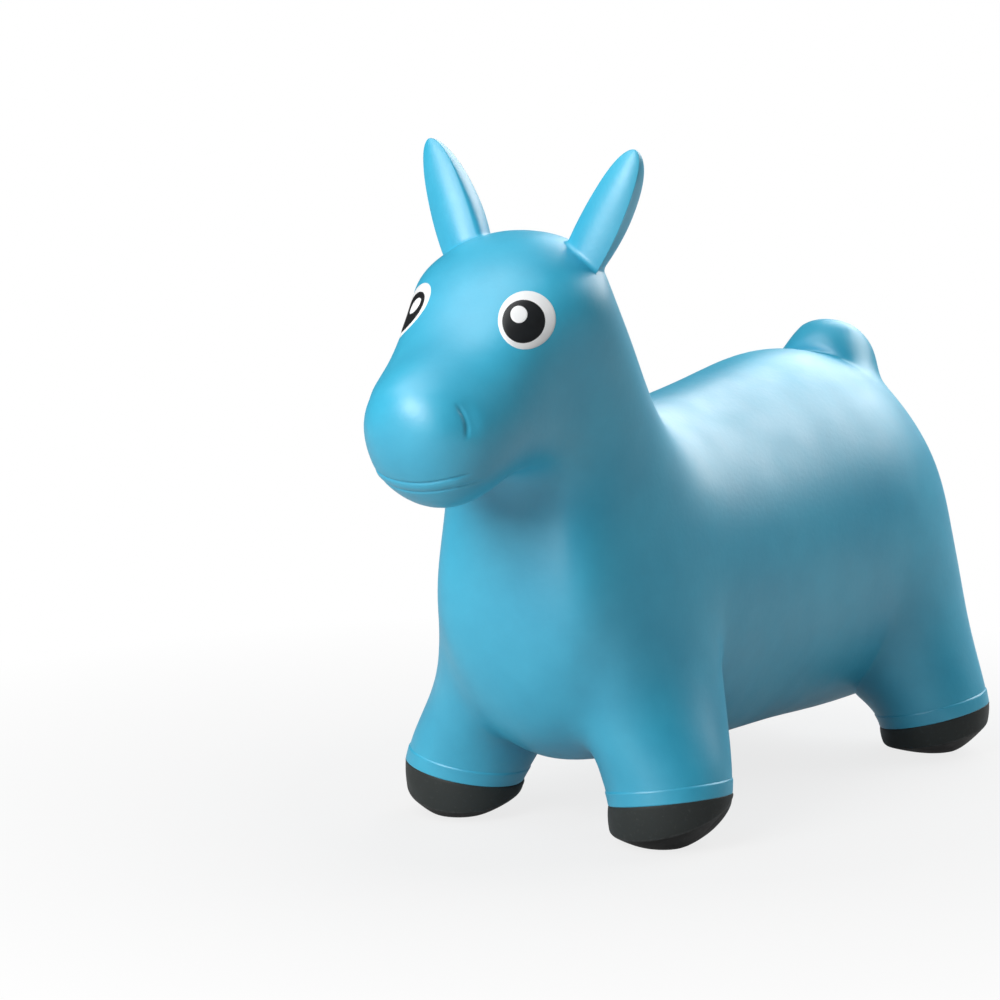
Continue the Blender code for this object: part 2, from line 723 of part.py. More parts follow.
    def build_valve(self, place, back):
        """Collar in the skin and the plug that closes it."""
        flange_top = -(WALL + VALVE_FLANGE_SETBACK)
        flange_low = flange_top - VALVE_FLANGE_THICKNESS
        recess = -(PLUG_HEAD_THICKNESS + SEAM)
        collar = ((VALVE_BORE_RADIUS, recess), (PLUG_HEAD_RADIUS + SEAM, recess),
                  (PLUG_HEAD_RADIUS + SEAM, 0.0), (VALVE_COLLAR_RADIUS, 0.0),
                  (VALVE_COLLAR_RADIUS, flange_top),
                  (VALVE_FLANGE_RADIUS, flange_top), (VALVE_FLANGE_RADIUS, flange_low),
                  (VALVE_COLLAR_RADIUS, flange_low), (VALVE_COLLAR_RADIUS, -VALVE_COLLAR_DEPTH),
                  (VALVE_BORE_RADIUS, -VALVE_COLLAR_DEPTH))
        seat = link("valve_seat", turned("valve_seat", collar, place, back), self.bounce)
        paint(seat, "valve_seat_vinyl", BLUE)
        stem = VALVE_BORE_RADIUS - PLUG_FIT
        base = recess + SEAM
        top = base + PLUG_HEAD_THICKNESS
        edge = 0.3 * PLUG_HEAD_THICKNESS
        profile = ((0.0, top), (PLUG_HEAD_RADIUS - edge, top), (PLUG_HEAD_RADIUS, top - edge),
                   (PLUG_HEAD_RADIUS, base), (stem, base), (stem, -0.7 * PLUG_LENGTH),
                   (PLUG_TIP_RADIUS, -PLUG_LENGTH), (0.0, -PLUG_LENGTH))
        plug = link("valve_plug", turned("valve_plug", profile, place, back), self.bounce, place)
        paint(plug, "valve_plug_plastic", VALVE_WHITE)

    def build_eyes(self):
        """Printed eyes: a white disc, a pupil in it and a glint in the pupil, each a thin coat."""
        low = guide(soften(link("print_under", cage_mesh("print_under")), SEAM))
        for side, hand in ((1, "left"), (-1, "right")):
            yaw = math.radians(EYE_YAW_DEG)
            aim = Vector((side * math.sin(yaw), -math.cos(yaw), 0.0))
            inside = Vector((0.0, EYE_AIM_Y, HEAD_HEIGHT - EYE_DROP))
            centre = self.surface_at(inside, aim)
            across = Vector((side * math.cos(yaw), math.sin(yaw), 0.0))
            up = Vector((0.0, 0.0, 1.0))

            def disc(name, radius, shift):
                start = centre + across * shift[0] + up * shift[1] - aim * EYE_RADIUS
                return drum(f"{hand}_{name}", start, aim, radius, 2.0 * EYE_RADIUS, PRINT_SIDES)

            def coat(name, region, hole, finish):
                item = link(f"{hand}_{name}", cage_mesh(name), self.bounce)
                soften(item, SEAM + PRINT_THICKNESS)
                keep(item, region)
                if hole is not None:
                    remove(item, hole)
                remove(item, low)
                paint(item, f"{hand}_{name}_print", finish)

            coat("eye_white", disc("white_region", EYE_RADIUS, (0.0, 0.0)),
                 disc("pupil_hole", PUPIL_RADIUS + SEAM, PUPIL_SHIFT), EYE_WHITE)
            coat("eye_pupil", disc("pupil_region", PUPIL_RADIUS, PUPIL_SHIFT),
                 disc("glint_hole", GLINT_RADIUS + SEAM, GLINT_SHIFT), EYE_BLACK)
            coat("eye_glint", disc("glint_region", GLINT_RADIUS, GLINT_SHIFT), None, EYE_WHITE)


def main():
    """Build the horse."""
    for item in list(bpy.data.objects):
        bpy.data.objects.remove(item)
    horse = Horse()
    leg_guides = horse.build_legs()
    horse.build_head()
    horse.build_barrel(leg_guides)
    horse.build_eyes()


if __name__ == "__main__":
    main()
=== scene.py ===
"""Bouncy ride-on horse: the looks of a blown-up vinyl toy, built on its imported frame.

The horse faces -Y, its left side is +X and it stands on z = 0. All sizes are in metres. One smooth
control cage gives the moulded form: the skin is drawn from it, the hooves, ridges and printed eyes are laid
on it, and the ears and the air valve stand on it.
"""

import logging
import math
from collections.abc import Sequence
from dataclasses import dataclass
from enum import Enum
from typing import Any, ClassVar, Protocol

import bmesh
import bpy
import numpy as np
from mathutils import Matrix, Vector
from mathutils.bvhtree import BVHTree


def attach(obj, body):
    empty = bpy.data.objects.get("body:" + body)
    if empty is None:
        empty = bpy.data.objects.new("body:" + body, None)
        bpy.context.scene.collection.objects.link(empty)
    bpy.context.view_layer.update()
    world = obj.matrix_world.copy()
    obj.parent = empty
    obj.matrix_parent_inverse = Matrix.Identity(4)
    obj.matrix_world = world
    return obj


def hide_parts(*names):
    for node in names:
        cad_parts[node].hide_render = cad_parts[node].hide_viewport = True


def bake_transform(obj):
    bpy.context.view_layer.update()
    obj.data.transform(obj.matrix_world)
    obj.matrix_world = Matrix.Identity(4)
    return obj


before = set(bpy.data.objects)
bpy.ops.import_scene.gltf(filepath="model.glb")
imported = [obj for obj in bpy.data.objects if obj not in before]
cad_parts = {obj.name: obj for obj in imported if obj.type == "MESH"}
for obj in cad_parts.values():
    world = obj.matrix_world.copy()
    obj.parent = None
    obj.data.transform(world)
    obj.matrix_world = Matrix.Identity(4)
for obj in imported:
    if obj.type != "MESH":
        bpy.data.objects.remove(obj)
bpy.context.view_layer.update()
LOG = logging.getLogger("ride_on_horse")

Colour = tuple[float, float, float]
Cells = Sequence[Sequence[int | None]]


class Side(Enum):
    """Hand of a piece as the rider sees it; the value is the sign of its x."""

    LEFT = 1
    RIGHT = -1

    @property
    def label(self) -> str:
        """The hand in plain words."""
        return self.name.lower()


class End(Enum):
    """Which pair of legs a leg belongs to."""

    FRONT = "front"
    REAR = "rear"


class Body(Enum):
    """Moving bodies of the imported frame."""

    STANCE = "stance"
    TRUNK = "trunk"
    EAR_LEFT = "ear_left"
    EAR_RIGHT = "ear_right"
    PLUG = "plug"


class Slot(Enum):
    """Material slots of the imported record."""

    VINYL = "vinyl_blue"
    HOOF = "hoof_paint"
    EYE_WHITE = "eye_white"
    EYE_BLACK = "eye_black"
    PLUG = "plug_white"


class Graph:
    """Draws one node tree, for a finish or for geometry."""

    def __init__(self, tree: bpy.types.NodeTree) -> None:
        """Keep the tree that nodes are added to."""
        self.tree = tree

    def add(self, kind: str, inputs: dict[Any, Any] | None = None, **settings: Any) -> bpy.types.Node:
        """Add one node.

        Args:
            kind: Blender's name of the node type.
            inputs: Values or sockets for its inputs, by name or number.
            **settings: Properties set on the node itself.

        Returns:
            The new node.
        """
        node = self.tree.nodes.new(kind)
        for key, value in settings.items():
            setattr(node, key, value)
        for key, value in (inputs or {}).items():
            if isinstance(value, bpy.types.NodeSocket):
                self.tree.links.new(value, node.inputs[key])
            else:
                node.inputs[key].default_value = value
        return node

    def number(self, operation: str, *values: Any) -> bpy.types.NodeSocket:
        """Result of one sum on numbers or number sockets."""
        node = self.add("ShaderNodeMath", dict(enumerate(values)), operation=operation)
        return node.outputs[0]

    def vector(self, operation: str, *values: Any) -> bpy.types.NodeSocket:
        """Result of one sum on vectors or vector sockets."""
        node = self.add("ShaderNodeVectorMath", dict(enumerate(values)), operation=operation)
        return node.outputs[0]

    def scaled(self, direction: Any, length: Any) -> bpy.types.NodeSocket:
        """A direction times a length."""
        node = self.add("ShaderNodeVectorMath", {0: direction, "Scale": length}, operation="SCALE")
        return node.outputs[0]

    def noise(self, scale: float, detail: float = 2.0, roughness: float = 0.5) -> bpy.types.NodeSocket:
        """Draw a cloud pattern that is fixed to the piece.

        Args:
            scale: How fine it is.
            detail: How many finer layers it has.
            roughness: How strong the finer layers are.

        Returns:
            Its height.
        """
        place = self.add("ShaderNodeTexCoord").outputs["Object"]
        node = self.add("ShaderNodeTexNoise", {
            "Vector": place, "Scale": scale, "Detail": detail, "Roughness": roughness})
        return node.outputs["Fac"]

    def spread(self, value: Any, low: float, high: float, start: Any = 0.3,
               end: Any = 0.7) -> bpy.types.NodeSocket:
        """Map a pattern onto a range.

        Args:
            value: The pattern.
            low: Result where the pattern is at start.
            high: Result where the pattern is at end.
            start: Lower bound of the pattern.
            end: Upper bound of the pattern.

        Returns:
            The mapped number.
        """
        node = self.add("ShaderNodeMapRange", {
            "Value": value, "From Min": start, "From Max": end, "To Min": low, "To Max": high})
        return node.outputs["Result"]

    def tint(self, share: Any, first: Any, second: Any) -> bpy.types.NodeSocket:
        """Mix of two colours or colour sockets."""
        ends = [end if isinstance(end, bpy.types.NodeSocket) else (*end, 1.0) for end in (first, second)]
        return self.add("ShaderNodeMix", {0: share, 6: ends[0], 7: ends[1]}, data_type="RGBA").outputs[2]

    def about(self, middle: float, either_way: float, scale: float,
              detail: float = 2.0) -> bpy.types.NodeSocket:
        """A number that wanders about a middle from place to place."""
        return self.spread(self.noise(scale, detail), middle - either_way, middle + either_way)

    def bump(self, height: Any, distance: float, strength: float, normal: Any = None) -> bpy.types.NodeSocket:
        """Turn a height pattern into surface relief.

        Args:
            height: The pattern.
            distance: How high the relief is.
            strength: How much of it shows.
            normal: An earlier relief that it is laid over, if there is one.

        Returns:
            The relief.
        """
        inputs = {"Height": height, "Distance": distance, "Strength": strength}
        if normal is not None:
            inputs["Normal"] = normal
        return self.add("ShaderNodeBump", inputs).outputs["Normal"]

    def finish(self, colour: Any, gloss: Any, relief: Any, shine: float = 0.5) -> None:
        """Give the tree's shader its look.

        Args:
            colour: Socket of its colour.
            gloss: Socket of its roughness.
            relief: Socket of its fine relief.
            shine: How strongly it mirrors; 0.5 is plain plastic.
        """
        shader = self.tree.nodes["Principled BSDF"]
        for name, socket in (("Base Color", colour), ("Roughness", gloss), ("Normal", relief)):
            self.tree.links.new(socket, shader.inputs[name])
        shader.inputs["Specular IOR Level"].default_value = shine


def new_finish(name: str) -> tuple[bpy.types.Material, Graph]:
    """Start a material and the graph that draws it.

    Args:
        name: Name of the material.

    Returns:
        The material and its graph.
    """
    material = bpy.data.materials.new(name)
    material.use_nodes = True
    return material, Graph(material.node_tree)


@dataclass(frozen=True)
class SatinVinyl:
    """Soft light blue vinyl, dyed through, with the satin face that a rotating mould leaves."""

    name: str = "satin_blue_vinyl"
    pale: Colour = (0.042, 0.445, 0.655)
    deep: Colour = (0.028, 0.370, 0.570)
    cloud_scale: float = 16.0
    cloud_detail: float = 5.0
    cloud_roughness: float = 0.6
    roughness: float = 0.44
    roughness_spread: float = 0.04
    shine: float = 1.0
    handling_scale: float = 38.0
    handling_detail: float = 4.0
    peel_scale: float = 260.0
    peel_depth: float = 0.00020
    grain_scale: float = 1500.0
    grain_detail: float = 1.0
    grain_depth: float = 0.00005
    relief_strength: float = 0.5

    def material(self) -> bpy.types.Material:
        """Make cloudy blue with uneven gloss from handling and a fine moulded grain.

        Returns:
            The material.
        """
        material, graph = new_finish(self.name)
        noise = graph.noise(self.cloud_scale, self.cloud_detail, self.cloud_roughness)
        clouds = graph.spread(noise, 0.0, 1.0)
        peel = graph.bump(graph.noise(self.peel_scale), self.peel_depth, self.relief_strength)
        grain = graph.bump(graph.noise(self.grain_scale, self.grain_detail), self.grain_depth,
                           self.relief_strength, peel)
        gloss = graph.about(self.roughness, self.roughness_spread, self.handling_scale, self.handling_detail)
        graph.finish(graph.tint(clouds, self.pale, self.deep), gloss, grain, self.shine)
        return material


@dataclass(frozen=True)
class HoofPaint:
    """Dark grey sprayed paint, drawn almost black on the sole as painted shade under the foot, with a paler
    rim line that is partly wear and partly a painted highlight.
    """

    name: str = "dark_hoof_paint"
    mark: str = "sole"
    wall: Colour = (0.034, 0.039, 0.038)
    # Painted shade: the sole has the wall's paint, drawn near black for the shade under the foot.
    sole: Colour = (0.006, 0.007, 0.007)
    scuff: Colour = (0.105, 0.112, 0.110)
    # Paler line along the rim: partly wear, partly a painted highlight of the rim's edge.
    rim_wear: float = 0.60
    rim_wear_least: float = 0.3
    rim_wear_band: tuple[float, float] = (0.35, 0.65)
    scuff_share: float = 0.35
    scuff_band: tuple[float, float] = (0.58, 0.80)
    shine: float = 0.20
    roughness: float = 0.52
    roughness_spread: float = 0.07
    handling_scale: float = 60.0
    handling_detail: float = 3.0
    scuff_scale: float = 420.0
    scuff_detail: float = 5.0
    scuff_roughness: float = 0.65
    grain_scale: float = 1800.0
    grain_depth: float = 0.00006
    grain_strength: float = 0.6

    def material(self) -> bpy.types.Material:
        """Make paint with painted shade that darkens it under the rim, a rim line paler from wear and a
        painted highlight, fine scuffs and a sprayed grain.

        Returns:
            The material.
        """
        material, graph = new_finish(self.name)
        under = graph.add("ShaderNodeAttribute", attribute_name=self.mark).outputs["Fac"]
        side = graph.number("ABSOLUTE", graph.number("MULTIPLY_ADD", under, 2.0, -1.0))
        # The rim is painted paler, partly as wear and partly as a painted highlight of its edge.
        rim = graph.number("MULTIPLY", graph.number("SUBTRACT", 1.0, side), self.rim_wear)
        noise = graph.noise(self.scuff_scale, self.scuff_detail, self.scuff_roughness)
        uneven = graph.spread(noise, self.rim_wear_least, 1.0, *self.rim_wear_band)
        rim_wear_and_highlight_share = graph.number("MULTIPLY", rim, uneven)
        scuffs_and_rim_highlight = graph.number("ADD", graph.spread(noise, 0.0, self.scuff_share, *self.scuff_band), rim_wear_and_highlight_share)
        # Towards the sole the colour runs to the near-black sole colour, which paints the shade under the
        # foot.
        worn_and_shaded = graph.tint(scuffs_and_rim_highlight, graph.tint(under, self.wall, self.sole), self.scuff)
        gloss = graph.about(self.roughness, self.roughness_spread, self.handling_scale, self.handling_detail)
        grain = graph.bump(graph.noise(self.grain_scale), self.grain_depth, self.grain_strength)
        graph.finish(worn_and_shaded, gloss, grain, self.shine)
        return material


@dataclass(frozen=True)
class PrintInk:
    """Pad-printed ink: an even coat with a faint screen grain."""

    name: str
    colour: Colour
    thin: Colour
    roughness: float
    roughness_spread: float = 0.04
    cover_scale: float = 90.0
    cover_detail: float = 4.0
    handling_scale: float = 150.0
    grain_scale: float = 2600.0
    grain_detail: float = 1.0
    grain_depth: float = 0.00003
    grain_strength: float = 0.4

    def material(self) -> bpy.types.Material:
        """Make ink with slight unevenness in its cover and gloss.

        Returns:
            The material.
        """
        material, graph = new_finish(self.name)
        cover = graph.spread(graph.noise(self.cover_scale, self.cover_detail), 0.0, 1.0)
        gloss = graph.about(self.roughness, self.roughness_spread, self.handling_scale)
        grain = graph.noise(self.grain_scale, self.grain_detail)
        graph.finish(graph.tint(cover, self.colour, self.thin), gloss,
                     graph.bump(grain, self.grain_depth, self.grain_strength))
        return material


@dataclass(frozen=True)
class PlugPlastic:
    """Plain white moulded plastic of the air plug."""

    name: str = "white_plug_plastic"
    colour: Colour = (0.76, 0.77, 0.76)
    soiled: Colour = (0.66, 0.67, 0.65)
    roughness: float = 0.44
    roughness_spread: float = 0.06
    soil_scale: float = 180.0
    soil_detail: float = 4.0
    soil_band: tuple[float, float] = (0.45, 0.75)
    handling_scale: float = 120.0
    grain_scale: float = 1400.0
    grain_depth: float = 0.00004
    grain_strength: float = 0.5

    def material(self) -> bpy.types.Material:
        """Make white plastic, a little soiled, with a fine grain.

        Returns:
            The material.
        """
        material, graph = new_finish(self.name)
        soil = graph.spread(graph.noise(self.soil_scale, self.soil_detail), 0.0, 1.0, *self.soil_band)
        gloss = graph.about(self.roughness, self.roughness_spread, self.handling_scale)
        graph.finish(graph.tint(soil, self.colour, self.soiled), gloss,
                     graph.bump(graph.noise(self.grain_scale), self.grain_depth, self.grain_strength))
        return material


@dataclass(frozen=True)
class Finishes:
    """All finishes of the toy, made once."""

    vinyl: bpy.types.Material
    hoof: bpy.types.Material
    white: bpy.types.Material
    black: bpy.types.Material
    plug: bpy.types.Material

    @classmethod
    def make(cls) -> "Finishes":
        """Make every material of the toy.

        Returns:
            The materials.
        """
        white = PrintInk("white_eye_ink", (0.84, 0.85, 0.85), (0.78, 0.80, 0.81), 0.42)
        black = PrintInk("black_eye_ink", (0.010, 0.011, 0.012), (0.014, 0.016, 0.018), 0.34)
        return cls(SatinVinyl().material(), HoofPaint().material(), white.material(),
                   black.material(), PlugPlastic().material())


@dataclass(frozen=True)
class Station:
    """One cross-section of the body, square to its length."""

    y: float
    half_width: float
    underside: float
    top: float
    belly_roundness: float


@dataclass(frozen=True)
class HoopFrame:
    """Centre and half axes of one hoop of the cage."""

    centre: Vector
    across: Vector
    along: Vector


@dataclass(frozen=True)
class Hoop:
    """One cross-section of the head, muzzle or tail, leaning about X."""

    y: float
    z: float
    half_width: float
    half_depth: float
    lean_deg: float

    def frame(self) -> HoopFrame:
        """Work out where the hoop lies.

        Returns:
            Its centre and half axes.
        """
        lean = math.radians(self.lean_deg)
        along = Vector((0.0, math.cos(lean), math.sin(lean))) * self.half_depth
        return HoopFrame(Vector((0.0, self.y, self.z)), Vector((self.half_width, 0.0, 0.0)), along)


def rim_cells(patch: Cells) -> list[tuple[int, int]]:
    """Walk once round a patch's edge.

    Args:
        patch: The patch.

    Returns:
        Row and column of each cell on the way.
    """
    last_row = len(patch) - 1
    last_column = len(patch[0]) - 1
    cells = [(0, column) for column in range(last_column + 1)]
    cells += [(row, last_column) for row in range(1, last_row + 1)]
    cells += [(last_row, column) for column in range(last_column - 1, -1, -1)]
    cells += [(row, 0) for row in range(last_row - 1, 0, -1)]
    return cells


def swell(count: int) -> float:
    """How much larger a ring of control points is than the round that it draws."""
    return 3.0 / (2.0 + math.cos(2.0 * math.pi / count))


def flatten(direction: Vector, normal: Vector) -> Vector:
    """Unit direction in the plane square to normal."""
    return (direction - normal * direction.dot(normal)).normalized()


class Cage:
    """Control mesh of the moulded form: points, and faces that name them."""

    def __init__(self) -> None:
        """Start with no points and no faces."""
        self.points: list[Vector] = []
        self.faces: list[tuple[int, ...]] = []

    def add(self, place: Vector) -> int:
        """Add one point and give its number."""
        self.points.append(Vector(place))
        return len(self.points) - 1

    def bridge(self, ring_a: Sequence[int], ring_b: Sequence[int]) -> None:
        """Join two rings of the same count with quads.

        Args:
            ring_a: Points of the first ring.
            ring_b: Points of the second ring.
        """
        count = len(ring_a)
        for here in range(count):
            there = (here + 1) % count
            self.faces.append((ring_a[here], ring_a[there], ring_b[there], ring_b[here]))

    def drop(self, cells: set[frozenset[int]]) -> None:
        """Take out the faces whose corner points are among the given sets."""
        self.faces = [face for face in self.faces if frozenset(face) not in cells]

    def hoop(self, spot: HoopFrame, count: int, columns: int) -> list[int]:
        """Add the points of one hoop.

        Args:
            spot: Centre and half axes of the hoop.
            count: Number of points.
            columns: Number of cells along the edge that the first point starts.

        Returns:
            The numbers of the points, once round.
        """
        grow = swell(count)
        ring = []
        for step in range(count):
            turn = 2.0 * math.pi * (step - columns / 2.0) / count
            ring.append(self.add(spot.centre + grow * (
                spot.across * math.sin(turn) - spot.along * math.cos(turn))))
        return ring

    def grow(self, patch: Cells, hoops: Sequence[HoopFrame], rise: float,
             shift: float = 0.0) -> list[list[int]]:
        """Draw a rectangular patch of points out through hoops and close its end.

        Args:
            patch: The points that it grows from.
            hoops: The hoops that it passes through.
            rise: Height of the dome that closes it.
            shift: Share of the half depth by which the dome's points move.

        Returns:
            The rings of points.
        """
        rim = rim_cells(patch)
        rings = [[patch[row][column] for row, column in rim]]
        for spot in hoops:
            ring = self.hoop(spot, len(rim), len(patch[0]) - 1)
            self.bridge(rings[-1], ring)
            rings.append(ring)
        self.close(patch, rings[-1], hoops[-1], hoops[-1].centre - hoops[-2].centre, rise, shift)
        return rings

    def close(self, patch: Cells, ring: Sequence[int], spot: HoopFrame, outward: Vector, rise: float,
              shift: float = 0.0) -> None:
        """Close the end of a grown part with a low dome of quads.

        Args:
            patch: Grid that gives the end its rows and columns.
            ring: Points of the end's edge.
            spot: Centre and half axes of the end.
            outward: Direction in which the dome rises.
            rise: Height of the dome.
            shift: Share of the half depth by which the dome's points move.
        """
        rows = len(patch) - 1
        columns = len(patch[0]) - 1
        normal = spot.along.cross(spot.across).normalized()
        if normal.dot(outward) < 0.0:
            normal.negate()
        end: list[list[int | None]] = [[None] * (columns + 1) for _ in range(rows + 1)]
        for (row, column), point in zip(rim_cells(patch), ring):
            end[row][column] = point
        for row in range(1, rows):
            for column in range(1, columns):
                share_u = 2.0 * row / rows - 1.0
                share_v = 2.0 * column / columns - 1.0
                lift = rise * (1.0 - 0.5 * (share_u ** 2 + share_v ** 2))
                end[row][column] = self.add(spot.centre + spot.along * (share_u + shift)
                                            + spot.across * share_v + normal * lift)
        for row in range(rows):
            for column in range(columns):
                self.faces.append((end[row][column], end[row][column + 1],
                                   end[row + 1][column + 1], end[row + 1][column]))

    def mesh(self, name: str) -> bpy.types.Mesh:
        """Turn the cage into a mesh.

        Args:
            name: Name of the mesh.

        Returns:
            The mesh, with its faces pointing out.
        """
        mesh = bpy.data.meshes.new(name)
        mesh.from_pydata([tuple(point) for point in self.points], [], self.faces)
        work = bmesh.new()
        work.from_mesh(mesh)
        bmesh.ops.delete(work, geom=[v for v in work.verts if not v.link_faces], context="VERTS")
        bmesh.ops.recalc_face_normals(work, faces=work.faces)
        work.to_mesh(mesh)
        work.free()
        return mesh


@dataclass(frozen=True)
class LegHoop:
    """One cross-section of a leg: its height, how far in and back it sits, its size and tilt."""

    height: float
    inset: float
    half_width: float
    half_depth: float
    tilt_deg: float
    back: float = 0.0


@dataclass(frozen=True)
class LegPlan:
    """What sets the front and the rear legs apart.

    The hip and shin are hoops. The ankle is the hoop at the hoof's upper edge, drawn in by ankle_tuck. The
    paint edge is tilted, raked and raised from there. The wall of the hoof is higher towards the toe and the
    outer side, leans on its inner side and its heel, and the sole is a bowl towards the heel.
    """

    hip: LegHoop
    shin: LegHoop
    ankle_inset: float
    ankle_tuck: float
    ankle_back: float
    edge_tilt_deg: float
    edge_rake_deg: float
    edge_raised: float
    wall: float
    wall_toe: float
    wall_outer: float
    lean_inner: float
    lean_heel: float
    bowl_heel: float


LEG_PLANS = {
    End.FRONT: LegPlan(
        hip=LegHoop(0.0795, 0.021, 0.0413, 0.0660, 41.0, 0.0100),
        shin=LegHoop(0.0496, 0.008, 0.0450, 0.0494, 14.0, 0.0025),
        ankle_inset=0.0008, ankle_tuck=0.0010, ankle_back=-0.0012,
        edge_tilt_deg=9.8, edge_rake_deg=-4.0, edge_raised=0.0026,
        wall=0.0106, wall_toe=0.0140, wall_outer=0.0010,
        lean_inner=0.0, lean_heel=0.10, bowl_heel=0.60),
    End.REAR: LegPlan(
        hip=LegHoop(0.0723, 0.021, 0.0500, 0.0605, 42.0, -0.0058),
        shin=LegHoop(0.0481, 0.011, 0.0454, 0.0484, 20.0),
        ankle_inset=0.0, ankle_tuck=0.0012, ankle_back=0.0,
        edge_tilt_deg=13.3, edge_rake_deg=4.8, edge_raised=-0.0004,
        wall=0.0138, wall_toe=0.0026, wall_outer=0.0034,
        lean_inner=0.20, lean_heel=0.0, bowl_heel=0.0)}


@dataclass(frozen=True)
class Leg:
    """Where one leg stands and the hoops that it passes through.

    The bulge and the undercut of the foot are shares of the hoof's height, radius and tilt. The rings of the
    sole are shares of its radius.
    """

    end: End
    side: Side
    spread: float
    y: float
    rake_deg: float
    toe: float
    hoof_tilt_deg: float = 9.8
    hoof_radius: float = 0.0433
    hoof_height: float = 0.028
    hoof_tuck: float = 0.003
    sole_radius: float = 0.017
    sole_press: float = 0.0008
    bulge: tuple[float, float, float] = (0.45, 0.965, 0.7)
    undercut: tuple[float, float, float] = (0.22, 0.69, 0.3)
    sole_rings: tuple[float, float] = (1.16, 0.86)

    @property
    def name(self) -> str:
        """Which leg this is."""
        return f"{self.end.value}_{self.side.label}"

    @property
    def plan(self) -> LegPlan:
        """The sizes that this leg shares with the one beside it."""
        return LEG_PLANS[self.end]

    def sections(self) -> list[LegHoop]:
        """List the leg's cross-sections.

        Returns:
            The sections from the hip to the sole.
        """
        plan = self.plan
        tilt = self.hoof_tilt_deg
        ankle = self.hoof_radius - plan.ankle_tuck
        sections = [plan.hip, plan.shin,
                    LegHoop(self.hoof_height, plan.ankle_inset, ankle, ankle, tilt, plan.ankle_back)]
        for (rise, reach, lean), inset in ((self.bulge, 0.0), (self.undercut, self.hoof_tuck)):
            radius = reach * self.hoof_radius
            sections.append(LegHoop(rise * self.hoof_height, inset, radius, radius, lean * tilt))
        for reach in self.sole_rings:
            radius = reach * self.sole_radius
            sections.append(LegHoop(-self.sole_press, self.hoof_tuck, radius, radius, 0.0))
        return sections

    def upward(self, tilt_deg: float, rake: float) -> Vector:
        """Unit direction that tilts inwards by an angle and forwards by a slope."""
        return Vector((-self.side.value * math.tan(math.radians(tilt_deg)), -rake, 1.0)).normalized()

    def plane(self, up: Vector) -> tuple[Vector, Vector]:
        """Unit directions inwards and backwards in the plane square to up."""
        return (flatten(Vector((-self.side.value, 0.0, 0.0)), up), flatten(Vector((0.0, 1.0, 0.0)), up))

    def paint_edge(self) -> tuple[Vector, Vector, Vector, Vector]:
        """Place the painted hoof's upper edge.

        Returns:
            Its centre and the directions up, inwards and backwards there.
        """
        plan = self.plan
        up = self.upward(plan.edge_tilt_deg, math.tan(math.radians(plan.edge_rake_deg)))
        centre = Vector((self.side.value * self.spread, self.y, self.hoof_height + plan.edge_raised))
        return centre, up, *self.plane(up)

    def hoops(self) -> list[HoopFrame]:
        """Place the leg's cross-sections.

        Returns:
            The hoops from the hip to the sole.
        """
        rake = math.tan(math.radians(self.rake_deg))
        hoops = []
        for section in self.sections():
            lean = rake * max(section.height - self.hoof_height, 0.0)
            toe = self.toe * max(1.0 - section.height / self.hoof_height, 0.0)
            y = self.y + section.back - lean - toe
            centre = Vector((self.side.value * (self.spread - section.inset), y, section.height))
            share = min(section.tilt_deg / self.hoof_tilt_deg, 1.0)
            across, along = self.plane(self.upward(section.tilt_deg, rake * share))
            hoops.append(HoopFrame(centre, across * section.half_width, along * section.half_depth))
        return hoops


